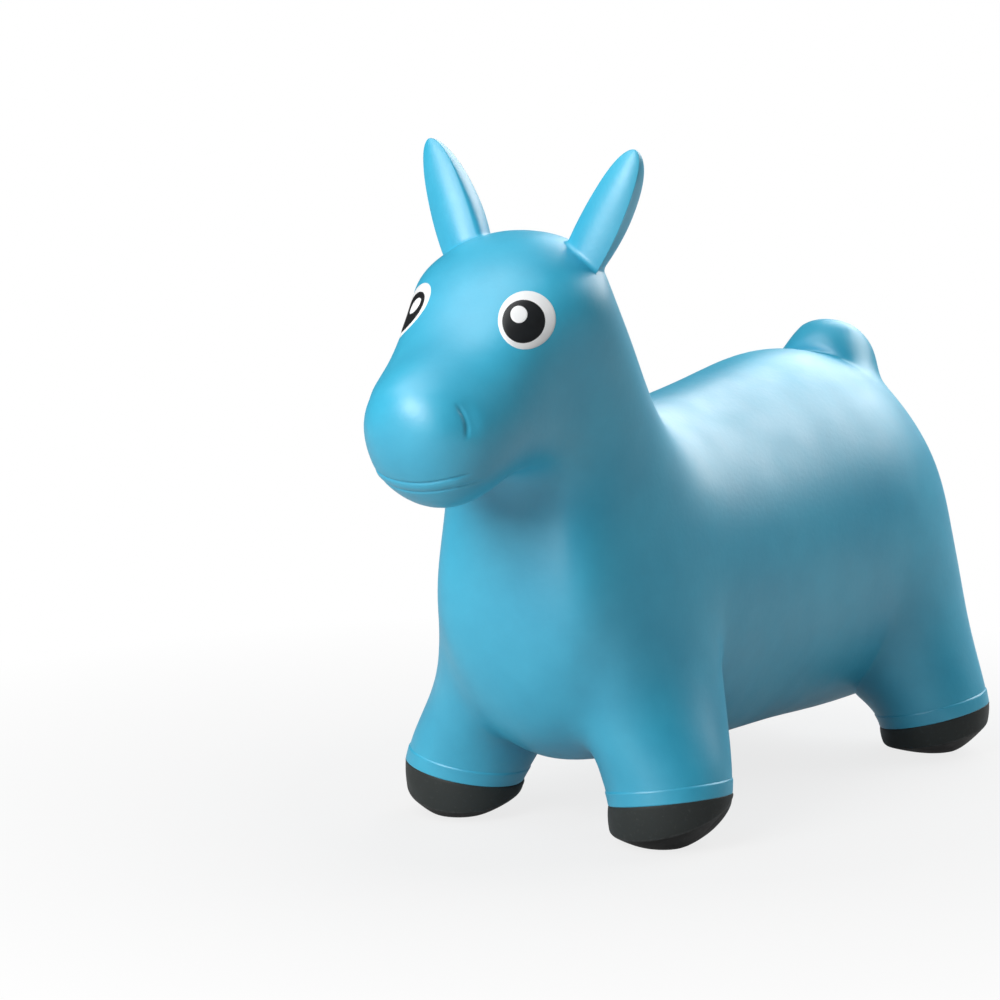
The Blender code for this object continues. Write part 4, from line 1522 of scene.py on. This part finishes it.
@dataclass
class Hoof:
    """The dark painted foot of one leg: a steep wall, a crisp rim and a domed sole."""

    leg: Leg
    probe: Probe
    coat: float = 0.0007
    lip: float = 0.0007
    lip_ease: float = 0.3
    cap_inset: float = 0.0030
    cap_drop: float = 0.5
    wall_swell: float = 0.0006
    rim_round: float = 0.0015
    least_wall: float = 0.0035
    least_rim: float = 0.0050
    least_lean: float = 0.05
    dome: float = 1.35
    bowl_sine: float = 0.55
    bowl_rim: float = 0.9
    sole_crowding: float = 1.6
    wall_rows: int = 10
    rim_rows: int = 5
    sole_rows: int = 18
    sectors: int = 144

    def wall_depth(self, forward: float, outer: float) -> float:
        """Height of the wall on one side of the foot."""
        plan = self.leg.plan
        return max(plan.wall + plan.wall_toe * forward + plan.wall_outer * outer, self.least_wall)

    def wall_lean(self, forward: float, outer: float) -> float:
        """How far the wall runs in towards the sole for its height."""
        plan = self.leg.plan
        return self.least_lean + plan.lean_inner * max(-outer, 0.0) + plan.lean_heel * max(-forward, 0.0)

    def bowl(self, forward: float) -> float:
        """How round the sole is on one side of the foot: 0 for a crisp rim and 1 for a round bowl."""
        return min(max(-forward, 0.0) / self.bowl_sine, 1.0) * self.leg.plan.bowl_heel

    def sole_centre(self) -> Vector:
        """Middle of the flat patch that the foot stands on."""
        x = self.leg.side.value * (self.leg.spread - self.leg.hoof_tuck)
        return Vector((x, self.leg.y - self.leg.toe, 0.0))

    def profile(self, turn: float) -> list[Vector]:
        """Places down one side of the foot, from inside its upper edge to its flat patch.

        Args:
            turn: Direction round the foot, from inwards through backwards.

        Returns:
            The places, the same number for each direction.
        """
        top, up, inward, back = self.leg.paint_edge()
        out = inward * math.cos(turn) + back * math.sin(turn)
        edge = self.probe.cast(top, out)[0] + out * self.coat
        flat = Vector((out.x, out.y, 0.0)).normalized()
        forward, outer = -math.sin(turn), -math.cos(turn)
        depth = min(self.wall_depth(forward, outer), edge.z - self.least_rim)
        rim = edge - Vector((0.0, 0.0, depth)) - flat * self.wall_lean(forward, outer) * depth
        patch = self.sole_centre() + flat * self.leg.sole_radius
        down = -up
        places = [edge - out * self.cap_inset + down * self.cap_drop * self.lip, edge - out * self.lip,
                  edge + (down - out) * self.lip_ease * self.lip, edge + down * self.lip]
        wall = rim - edge
        stop = 1.0 - self.rim_round / wall.length
        for row in range(1, self.wall_rows + 1):
            share = self.lip / depth + (stop - self.lip / depth) * row / self.wall_rows
            places.append(edge + wall * share + out * self.wall_swell * math.sin(math.pi * share))
        turn_in = places[-1]
        bowl = self.bowl(forward)
        first = self.rim_round / (rim - patch).length * (1.0 - self.bowl_rim * bowl)
        turn_out = self.sole_place(rim, patch, first, bowl)
        for row in range(1, self.rim_rows + 1):
            share = row / (self.rim_rows + 1)
            places.append(turn_in.lerp(rim, share).lerp(rim.lerp(turn_out, share), share))
        for row in range(self.sole_rows + 1):
            share = first + (1.0 - first) * (row / self.sole_rows) ** self.sole_crowding
            places.append(self.sole_place(rim, patch, share, bowl))
        return places

    def sole_place(self, rim: Vector, patch: Vector, share: float, bowl: float) -> Vector:
        """Place on the domed sole.

        Args:
            rim: Place on the rim, at share 0.
            patch: Place on the edge of the flat patch, at share 1.
            share: How far along from the rim to the patch.
            bowl: How round the sole is on this side.

        Returns:
            The place.
        """
        left = max(1.0 - share, 0.0)
        place = rim.lerp(patch, share)
        place.z = rim.z * ((1.0 - bowl) * left ** self.dome + bowl * (1.0 - math.sqrt(1.0 - left * left)))
        return place

    def build(self, finishes: Finishes) -> bpy.types.Object:
        """Build and dress the hoof.

        Args:
            finishes: The toy's materials.

        Returns:
            The finished piece.
        """
        work = bmesh.new()
        mark = work.verts.layers.float.new(HoofPaint.mark)
        columns = [[work.verts.new(place) for place in self.profile(2.0 * math.pi * sector / self.sectors)]
                   for sector in range(self.sectors)]
        wall_end = len(columns[0]) - self.rim_rows - self.sole_rows - 2
        for column in columns:
            for row, vert in enumerate(column):
                vert[mark] = min(max((row - wall_end) / (self.rim_rows + 1), 0.0), 1.0)
        rings = list(zip(*columns))
        poles = [work.verts.new(middle_of(ring)) for ring in (rings[0], rings[-1])]
        poles[1][mark] = 1.0
        loft(work, [[poles[0]] * self.sectors, *rings, [poles[1]] * self.sectors])
        hoof = piece_of(f"{self.leg.name}_hoof_coat", work, finishes.hoof)
        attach(hoof, Body.STANCE.value)
        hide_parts(f"{self.leg.name}_hoof")
        report(hoof)
        return hoof


class GeometryTree:
    """A Geometry Nodes tree that folds a sheet flat on itself, rolls it up and lays it on the form."""

    shared: ClassVar[dict[str, str]] = {
        "Form": "Object", "Centre": "Vector", "Across": "Vector", "Up": "Vector", "Lift": "Float",
        "Sunk": "Float", "Rows": "Int", "Sectors": "Int", "Finish": "Material"}
    ray_length: ClassVar[float] = 1.0
    weld_distance: ClassVar[float] = 0.000002

    def __init__(self, name: str, **extra: str) -> None:
        """Start the tree with its named inputs and the shares that place each point of the sheet.

        Args:
            name: Name of the tree.
            **extra: Kinds of the inputs that this tree has beyond the shared ones.
        """
        self.tree = bpy.data.node_groups.new(name, "GeometryNodeTree")
        self.graph = graph = Graph(self.tree)
        self.sockets = {key: self.tree.interface.new_socket(
            key, in_out="INPUT", socket_type=f"NodeSocket{kind}").identifier
            for key, kind in {**self.shared, **extra}.items()}
        self.tree.interface.new_socket("Geometry", in_out="OUTPUT", socket_type="NodeSocketGeometry")
        self.given = graph.add("NodeGroupInput").outputs
        place = graph.add("ShaderNodeSeparateXYZ", {0: graph.add("GeometryNodeInputPosition").outputs[0]})
        share = graph.number("ADD", place.outputs["X"], 0.5)
        turn = graph.number("MULTIPLY", place.outputs["Y"], 2.0 * math.pi)
        self.cosine = graph.number("COSINE", turn)
        self.sine = graph.number("SINE", turn)
        self.fold = graph.number("SUBTRACT", 1.0, graph.number("ABSOLUTE", graph.number(
            "SUBTRACT", graph.number("MULTIPLY", share, 2.0), 1.0)))
        self.outer = graph.number("LESS_THAN", share, 0.5)

    def around(self, first: bpy.types.NodeSocket, second: bpy.types.NodeSocket) -> bpy.types.NodeSocket:
        """Direction that goes once round, from the first direction towards the second."""
        return self.graph.vector("ADD", self.graph.scaled(first, self.cosine),
                                 self.graph.scaled(second, self.sine))

    def lay(self, start: bpy.types.NodeSocket, direction: bpy.types.NodeSocket, height: bpy.types.NodeSocket,
            outward: bpy.types.NodeSocket | None = None) -> None:
        """Lay the sheet on the form, close it, and end with real faces, smooth shading and the finish.

        Args:
            start: Where each point of the sheet looks for the form from.
            direction: The way it looks.
            height: How far off the form it is laid.
            outward: The way it is lifted off; square to the form if none is given.
        """
        graph, given = self.graph, self.given
        sheet = graph.add("GeometryNodeMeshGrid", {
            "Size X": 1.0, "Size Y": 1.0, "Vertices X": given["Rows"], "Vertices Y": given["Sectors"]})
        form = graph.add("GeometryNodeObjectInfo", {"Object": given["Form"]})
        found = graph.add("GeometryNodeRaycast", {
            "Target Geometry": form.outputs["Geometry"], "Source Position": start,
            "Ray Direction": direction, "Ray Length": self.ray_length})
        lift = graph.scaled(outward or found.outputs["Hit Normal"], height)
        laid = graph.add("GeometryNodeSetPosition", {
            "Geometry": sheet.outputs["Mesh"],
            "Position": graph.vector("ADD", found.outputs["Hit Position"], lift)})
        closed = graph.add("GeometryNodeMergeByDistance", {
            "Geometry": laid.outputs[0], "Distance": self.weld_distance})
        real = graph.add("GeometryNodeRealizeInstances", {"Geometry": closed.outputs[0]})
        shade = graph.add("GeometryNodeSetShadeSmooth", {"Geometry": real.outputs[0]})
        dress = graph.add("GeometryNodeSetMaterial", {
            "Geometry": shade.outputs[0], "Material": given["Finish"]})
        graph.add("NodeGroupOutput", {"Geometry": dress.outputs[0]})

    def make(self, name: str, values: dict[str, Any]) -> bpy.types.Object:
        """Make one piece.

        Args:
            name: Name of the piece.
            values: A value for each named input.

        Returns:
            The piece as a plain mesh with its faces pointing out.
        """
        piece = bpy.data.objects.new(name, bpy.data.meshes.new(name))
        bpy.context.scene.collection.objects.link(piece)
        step = piece.modifiers.new(name, "NODES")
        step.node_group = self.tree
        for key, value in values.items():
            step[self.sockets[key]] = value
        settle(piece)
        work = bmesh.new()
        work.from_mesh(piece.data)
        bmesh.ops.recalc_face_normals(work, faces=work.faces)
        work.to_mesh(piece.data)
        work.free()
        return piece


def print_tree() -> GeometryTree:
    """Tree of a round print: a thin lens laid on the form and closed below its surface.

    Returns:
        The tree, with the print's aim, radius, standoff and brim as further inputs.
    """
    tree = GeometryTree("eye_print", Aim="Vector", Radius="Float", Standoff="Float", Brim="Float")
    graph, given = tree.graph, tree.given
    spread = graph.scaled(tree.around(given["Across"], given["Up"]),
                          graph.number("MULTIPLY", tree.fold, given["Radius"]))
    start = graph.vector("ADD", graph.vector("ADD", given["Centre"], spread),
                         graph.scaled(given["Aim"], given["Standoff"]))
    brim = graph.number("SUBTRACT", 1.0, graph.number("POWER", tree.fold, given["Brim"]))
    raised = graph.number("MULTIPLY", tree.outer, graph.number("MULTIPLY", given["Lift"], brim))
    sunk = graph.number("MULTIPLY", graph.number("SUBTRACT", 1.0, tree.outer), given["Sunk"])
    tree.lay(start, graph.scaled(given["Aim"], -1.0), graph.number("SUBTRACT", raised, sunk))
    return tree


def band_tree() -> GeometryTree:
    """Tree of a moulded band: a low step that follows the form round one leg.

    Returns:
        The tree, with the band's second axis, height and the shares of its slopes as further inputs.
    """
    tree = GeometryTree("leg_band", Along="Vector", Height="Float", Rise="Float", Fall="Float")
    graph, given = tree.graph, tree.given
    outward = tree.around(given["Across"], given["Along"])
    start = graph.vector("ADD", given["Centre"], graph.scaled(
        given["Up"], graph.number("MULTIPLY", tree.fold, given["Height"])))
    rise, fall = (graph.number("SINE", graph.number("MULTIPLY", slope, 0.5 * math.pi)) for slope in (
        graph.spread(tree.fold, 0.0, 1.0, 0.0, given["Rise"]),
        graph.spread(tree.fold, 1.0, 0.0, given["Fall"], 1.0)))
    raised = graph.number("MULTIPLY", tree.outer, graph.number(
        "MULTIPLY", given["Lift"], graph.number("MULTIPLY", rise, fall)))
    tree.lay(start, outward, graph.number("SUBTRACT", raised, given["Sunk"]), outward)
    return tree


@dataclass
class LegBand:
    """The low moulded band round a leg above its hoof."""

    leg: Leg
    probe: Probe
    below: float = 0.0008
    height: float = 0.0115
    lift: float = 0.0012
    sunk: float = 0.0005
    rise_end: float = 0.10
    fall_start: float = 0.84
    rows: int = 61
    sectors: int = 169

    def build(self, tree: GeometryTree, skin: Skin, finishes: Finishes) -> bpy.types.Object:
        """Build and dress the band.

        Args:
            tree: Geometry tree of a band.
            skin: Not used.
            finishes: The toy's materials.

        Returns:
            The finished piece.
        """
        top, up, inward, back = self.leg.paint_edge()
        band = tree.make(f"{self.leg.name}_leg_ridge", {
            "Form": self.probe.item, "Centre": top - up * self.below, "Up": up,
            "Across": inward, "Along": back, "Height": self.height, "Lift": self.lift, "Sunk": self.sunk,
            "Rise": self.rise_end, "Fall": self.fall_start, "Rows": self.rows, "Sectors": self.sectors,
            "Finish": finishes.vinyl})
        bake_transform(band)
        report(band)
        return band


@dataclass(frozen=True)
class EyeLayer:
    """One colour of a printed eye: its size, its place in the eye and its height."""

    name: str
    radius: float
    shift: tuple[float, float]
    lift: float
    slot: Slot


@dataclass
class Eye:
    """A printed eye: a white disc, a black pupil and a white glint."""

    side: Side
    probe: Probe
    aim_y: float = -0.1575
    height: float = 0.3725
    yaw_deg: float = 34.0
    upright: float = 0.95
    layers: tuple[EyeLayer, ...] = (
        EyeLayer("white", 0.0197, (0.0, 0.0), 0.00030, Slot.EYE_WHITE),
        EyeLayer("pupil", 0.0151, (-0.0021, -0.0008), 0.00050, Slot.EYE_BLACK),
        EyeLayer("glint", 0.0061, (-0.0053, 0.0036), 0.00070, Slot.EYE_WHITE))
    sunk: float = 0.0004
    standoff: float = 0.05
    brim_power: float = 14.0
    rows: int = 57
    sectors: int = 97

    def build(self, tree: GeometryTree, finishes: Finishes) -> list[bpy.types.Object]:
        """Build and dress the eye.

        Args:
            tree: Geometry tree of a print.
            finishes: The toy's materials.

        Returns:
            The finished layers.
        """
        yaw = math.radians(self.yaw_deg)
        hand = self.side.value
        aim = Vector((hand * math.sin(yaw), -math.cos(yaw), 0.0))
        across = Vector((hand * math.cos(yaw), math.sin(yaw), 0.0))
        up = Vector((0.0, 0.0, 1.0))
        centre, _ = self.probe.cast(Vector((0.0, self.aim_y, self.height)), aim)
        pieces = []
        for layer in self.layers:
            ink = finishes.black if layer.slot is Slot.EYE_BLACK else finishes.white
            spot = centre + across * layer.shift[0] + up * layer.shift[1]
            piece = tree.make(f"{self.side.label}_eye_{layer.name}_print", {
                "Form": self.probe.item, "Centre": spot, "Across": across, "Up": up * self.upright,
                "Aim": aim, "Radius": layer.radius, "Lift": layer.lift, "Sunk": self.sunk,
                "Standoff": self.standoff, "Brim": self.brim_power, "Rows": self.rows,
                "Sectors": self.sectors, "Finish": ink})
            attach(piece, Body.TRUNK.value)
            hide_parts(f"{self.side.label}_eye_{layer.name}")
            report(piece)
            pieces.append(piece)
        return pieces


@dataclass
class AirValve:
    """Collar and push-in plug on the rump, turned about the valve's axis."""

    place: Vector
    collar_radius: float = 0.0090
    bore_radius: float = 0.0042
    head_seat_radius: float = 0.0078
    head_seat_depth: float = 0.0027
    collar_depth: float = 0.0120
    collar_taper: float = 0.0012
    flange_radius: float = 0.0125
    flange_top: float = 0.0038
    flange_underside: float = 0.0056
    flange_ease: float = 0.0002
    head_radius: float = 0.0075
    head_thickness: float = 0.0024
    plug_length: float = 0.0150
    tip_radius: float = 0.0026
    tip_start: float = 0.0122
    shank_gap: float = 0.00005
    ring_depths: tuple[float, ...] = (0.0052, 0.0078, 0.0104)
    ring_height: float = 0.0003
    ring_flat: float = 0.0004
    ring_foot: float = 0.0009
    tab_length: float = 0.0046
    tab_half_width: float = 0.0011
    tab_height: float = 0.0016
    tab_base: float = 0.0002
    tab_sunk: float = 0.0004
    tab_rows: tuple[tuple[float, float], ...] = ((0.0, 0.55), (0.12, 0.85), (0.35, 1.0))
    tab_sectors: int = 48
    sharp_deg: float = 50.0
    sectors: int = 96

    def turned(self, profile: Sequence[tuple[float, float]]) -> bmesh.types.BMesh:
        """Turn a closed profile about the valve's axis.

        Args:
            profile: Radius and height of each point, outwards from the skin.

        Returns:
            The work mesh.
        """
        work = bmesh.new()
        rings = []
        for radius, height in profile:
            middle = self.place + Vector((0.0, height, 0.0))
            if radius == 0.0:
                rings.append([work.verts.new(middle)] * self.sectors)
                continue
            ring = []
            for step in range(self.sectors):
                turn = 2.0 * math.pi * step / self.sectors
                spot = Vector((radius * math.cos(turn), 0.0, radius * math.sin(turn)))
                ring.append(work.verts.new(middle + spot))
            rings.append(ring)
        loft(work, rings if profile[0][0] == 0.0 else [*rings, rings[0]])
        return work

    def seat_profile(self) -> list[tuple[float, float]]:
        """Outline the collar.

        Returns:
            Radius and height of each point, once round.
        """
        outer, seat, bore = self.collar_radius, self.head_seat_radius, self.bore_radius
        dip, depth = self.head_seat_depth, self.collar_depth
        flange, above, below = self.flange_radius, -self.flange_top, -self.flange_underside
        return [(outer - 0.0005, 0.0), (outer - 0.0001, -0.0002), (outer, -0.0006),
                (outer, above + self.flange_ease), (flange, above), (flange, below),
                (outer, below - self.flange_ease), (outer - self.collar_taper, -depth), (bore, -depth),
                (bore, -dip - 0.0004), (bore + 0.0004, -dip), (seat - 0.0003, -dip),
                (seat, -dip + 0.0003), (seat, -0.0005), (seat + 0.0003, -0.0001)]

    def plug_profile(self) -> list[tuple[float, float]]:
        """Outline the plug.

        Returns:
            Radius and height of each point, from the middle of its head to the end of its shank.
        """
        head, thick = self.head_radius, self.head_thickness
        shank, end = self.bore_radius - self.shank_gap, -self.plug_length
        core = shank - self.ring_height
        points = [(0.0, 0.00025), (0.0030, 0.0002), (0.0055, 0.0001), (head - 0.0006, 0.0),
                  (head - 0.0001, -0.0003), (head, -0.0008), (head, -thick + 0.0002), (head - 0.0004, -thick),
                  (shank, -thick)]
        for depth in self.ring_depths:
            points += [(core, self.ring_foot - depth), (shank, self.ring_flat - depth),
                       (shank, -self.ring_flat - depth), (core, -self.ring_foot - depth)]
        return points + [(shank - 0.0004, -self.tip_start), (self.tip_radius + 0.0004, end + 0.0004),
                         (self.tip_radius, end), (0.0, end)]

    def add_tab(self, work: bmesh.types.BMesh) -> None:
        """Add the low bar across the head that fingers pull.

        Args:
            work: Mesh of the plug.
        """
        rings = []
        levels = [(inset, self.tab_base + rise * self.tab_height) for inset, rise in self.tab_rows]
        for inset, height in [(0.0, -self.tab_sunk), *levels]:
            width = self.tab_half_width * (1.0 - inset)
            run = self.tab_length - self.tab_half_width * (1.0 + inset)
            ring = []
            for step in range(self.tab_sectors):
                turn = 2.0 * math.pi * step / self.tab_sectors
                end = run if step <= self.tab_sectors // 2 else -run
                spot = Vector((width * math.cos(turn), height, width * math.sin(turn) + end))
                ring.append(work.verts.new(self.place + spot))
            rings.append(ring)
        loft(work, rings)
        work.faces.new(rings[-1])
        work.faces.new(rings[0])

    def build(self, finishes: Finishes) -> list[bpy.types.Object]:
        """Build and dress the collar and the plug.

        Args:
            finishes: The toy's materials.

        Returns:
            The finished pieces.
        """
        collar = piece_of("valve_collar", self.turned(self.seat_profile()), finishes.vinyl)
        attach(collar, Body.TRUNK.value)
        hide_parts("valve_seat")
        work = self.turned(self.plug_profile())
        self.add_tab(work)
        plug = piece_of("valve_stopper", work, finishes.plug)
        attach(plug, Body.PLUG.value)
        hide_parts("valve_plug")
        for piece in (collar, plug):
            piece.data.set_sharp_from_angle(angle=math.radians(self.sharp_deg))
            report(piece)
        return [collar, plug]


@dataclass(frozen=True)
class Softbox:
    """One soft lamp of the studio."""

    name: str
    place: tuple[float, float, float]
    width: float
    height: float
    power: float


@dataclass
class Studio:
    """Pale floor, soft lamps and the camera."""

    azimuth_deg: float = 33.7
    elevation_deg: float = 9.5
    distance: float = 3.07
    look_at: tuple[float, float, float] = (-0.0756, -0.0754, 0.2201)
    lens_mm: float = 155.95
    sensor_mm: float = 36.0
    floor_size: float = 60.0
    floor_colour: Colour = (0.45, 0.45, 0.45)
    floor_roughness: float = 0.9
    veil_reach: tuple[float, float] = (0.25, 0.70)
    veil_least: float = 0.80
    world_light: float = 0.03
    gloss_share: float = 0.25
    lamp_aim: tuple[float, float, float] = (0.0, 0.0, 0.2)
    lamps: tuple[Softbox, ...] = (
        Softbox("key_softbox", (-0.199, -1.802, 1.045), 1.0, 1.0, 31.5),
        Softbox("top_softbox", (-0.620, -0.785, 1.932), 1.6, 1.6, 20.0),
        Softbox("rear_softbox", (0.237, 1.621, 1.347), 2.3, 1.4, 52.0))

    def background(self, graph: Graph) -> bpy.types.NodeSocket:
        """Tell apart the rays that see plain white.

        Args:
            graph: The graph that asks.

        Returns:
            Share of the plain white that the camera, gloss and glass see.
        """
        path = graph.add("ShaderNodeLightPath")
        gloss = graph.number("MULTIPLY", path.outputs["Is Glossy Ray"], self.gloss_share)
        clear = graph.number("ADD", path.outputs["Is Transmission Ray"], gloss)
        return graph.number("MINIMUM", graph.number("ADD", path.outputs["Is Camera Ray"], clear), 1.0)

    def build_floor(self) -> None:
        """Lay the floor: a little of its own paint near the toy, plain white further off."""
        mesh = bpy.data.meshes.new("floor")
        half = 0.5 * self.floor_size
        mesh.from_pydata([(-half, -half, 0.0), (half, -half, 0.0), (half, half, 0.0), (-half, half, 0.0)],
                         [], [(0, 1, 2, 3)])
        material, graph = new_finish("pale_floor")
        shader = graph.tree.nodes["Principled BSDF"]
        shader.inputs["Base Color"].default_value = (*self.floor_colour, 1.0)
        shader.inputs["Roughness"].default_value = self.floor_roughness
        shader.inputs["Specular IOR Level"].default_value = 0.0
        place = graph.add("ShaderNodeTexCoord").outputs["Object"]
        away = graph.add("ShaderNodeVectorMath", {0: place}, operation="LENGTH").outputs["Value"]
        veil = graph.spread(away, self.veil_least, 1.0, *self.veil_reach)
        plain = graph.add("ShaderNodeEmission", {"Color": (1.0, 1.0, 1.0, 1.0), "Strength": 1.0})
        mix = graph.add("ShaderNodeMixShader", {
            0: graph.number("MULTIPLY", veil, self.background(graph)), 1: shader.outputs[0],
            2: plain.outputs[0]})
        graph.tree.links.new(mix.outputs[0], graph.tree.nodes["Material Output"].inputs["Surface"])
        mesh.materials.append(material)
        floor = bpy.data.objects.new("floor", mesh)
        bpy.context.scene.collection.objects.link(floor)

    def build_world(self) -> None:
        """Light the room evenly, with a plain white surround."""
        world = bpy.data.worlds.new("studio")
        world.use_nodes = True
        shine = world.node_tree.nodes["Background"]
        shine.inputs["Color"].default_value = (1.0, 1.0, 1.0, 1.0)
        shine.inputs["Strength"].default_value = self.world_light
        bpy.context.scene.world = world

    def build_lamps(self) -> None:
        """Hang the softboxes."""
        for lamp in self.lamps:
            light = bpy.data.lights.new(lamp.name, "AREA")
            light.shape = "RECTANGLE"
            light.size = lamp.width
            light.size_y = lamp.height
            light.energy = lamp.power
            item = bpy.data.objects.new(lamp.name, light)
            item.location = lamp.place
            facing = Vector(self.lamp_aim) - Vector(lamp.place)
            item.rotation_euler = facing.to_track_quat("-Z", "Y").to_euler()
            bpy.context.scene.collection.objects.link(item)

    def build_camera(self) -> None:
        """Set up the camera at the picture's angle."""
        azimuth = math.radians(self.azimuth_deg)
        elevation = math.radians(self.elevation_deg)
        back = Vector((math.sin(azimuth) * math.cos(elevation), -math.cos(azimuth) * math.cos(elevation),
                       math.sin(elevation)))
        lens = bpy.data.cameras.new("camera")
        lens.lens = self.lens_mm
        lens.sensor_width = self.sensor_mm
        item = bpy.data.objects.new("camera", lens)
        item.location = Vector(self.look_at) + back * self.distance
        item.rotation_euler = (-back).to_track_quat("-Z", "Y").to_euler()
        bpy.context.scene.collection.objects.link(item)
        bpy.context.scene.camera = item

    def build(self) -> None:
        """Build the whole studio."""
        bpy.context.scene.view_settings.view_transform = "Standard"
        self.build_floor()
        self.build_world()
        self.build_lamps()
        self.build_camera()


def main() -> None:
    """Build the toy's pieces in order, then the studio."""
    logging.basicConfig(level=logging.INFO, format="%(name)s %(message)s")
    finishes = Finishes.make()
    form = MouldedForm()
    probe = Probe(form)
    skin = Skin(form, probe)
    skin.build(finishes)
    for side in Side:
        Ear(side, probe).build(finishes)
    bands = band_tree()
    for leg in form.legs():
        Hoof(leg, probe).build(finishes)
        LegBand(leg, probe).build(bands, skin, finishes)
    prints = print_tree()
    for side in Side:
        Eye(side, probe).build(prints, finishes)
    AirValve(skin.valve_place()).build(finishes)
    probe.remove()
    Studio().build()


if __name__ == "__main__":
    main()
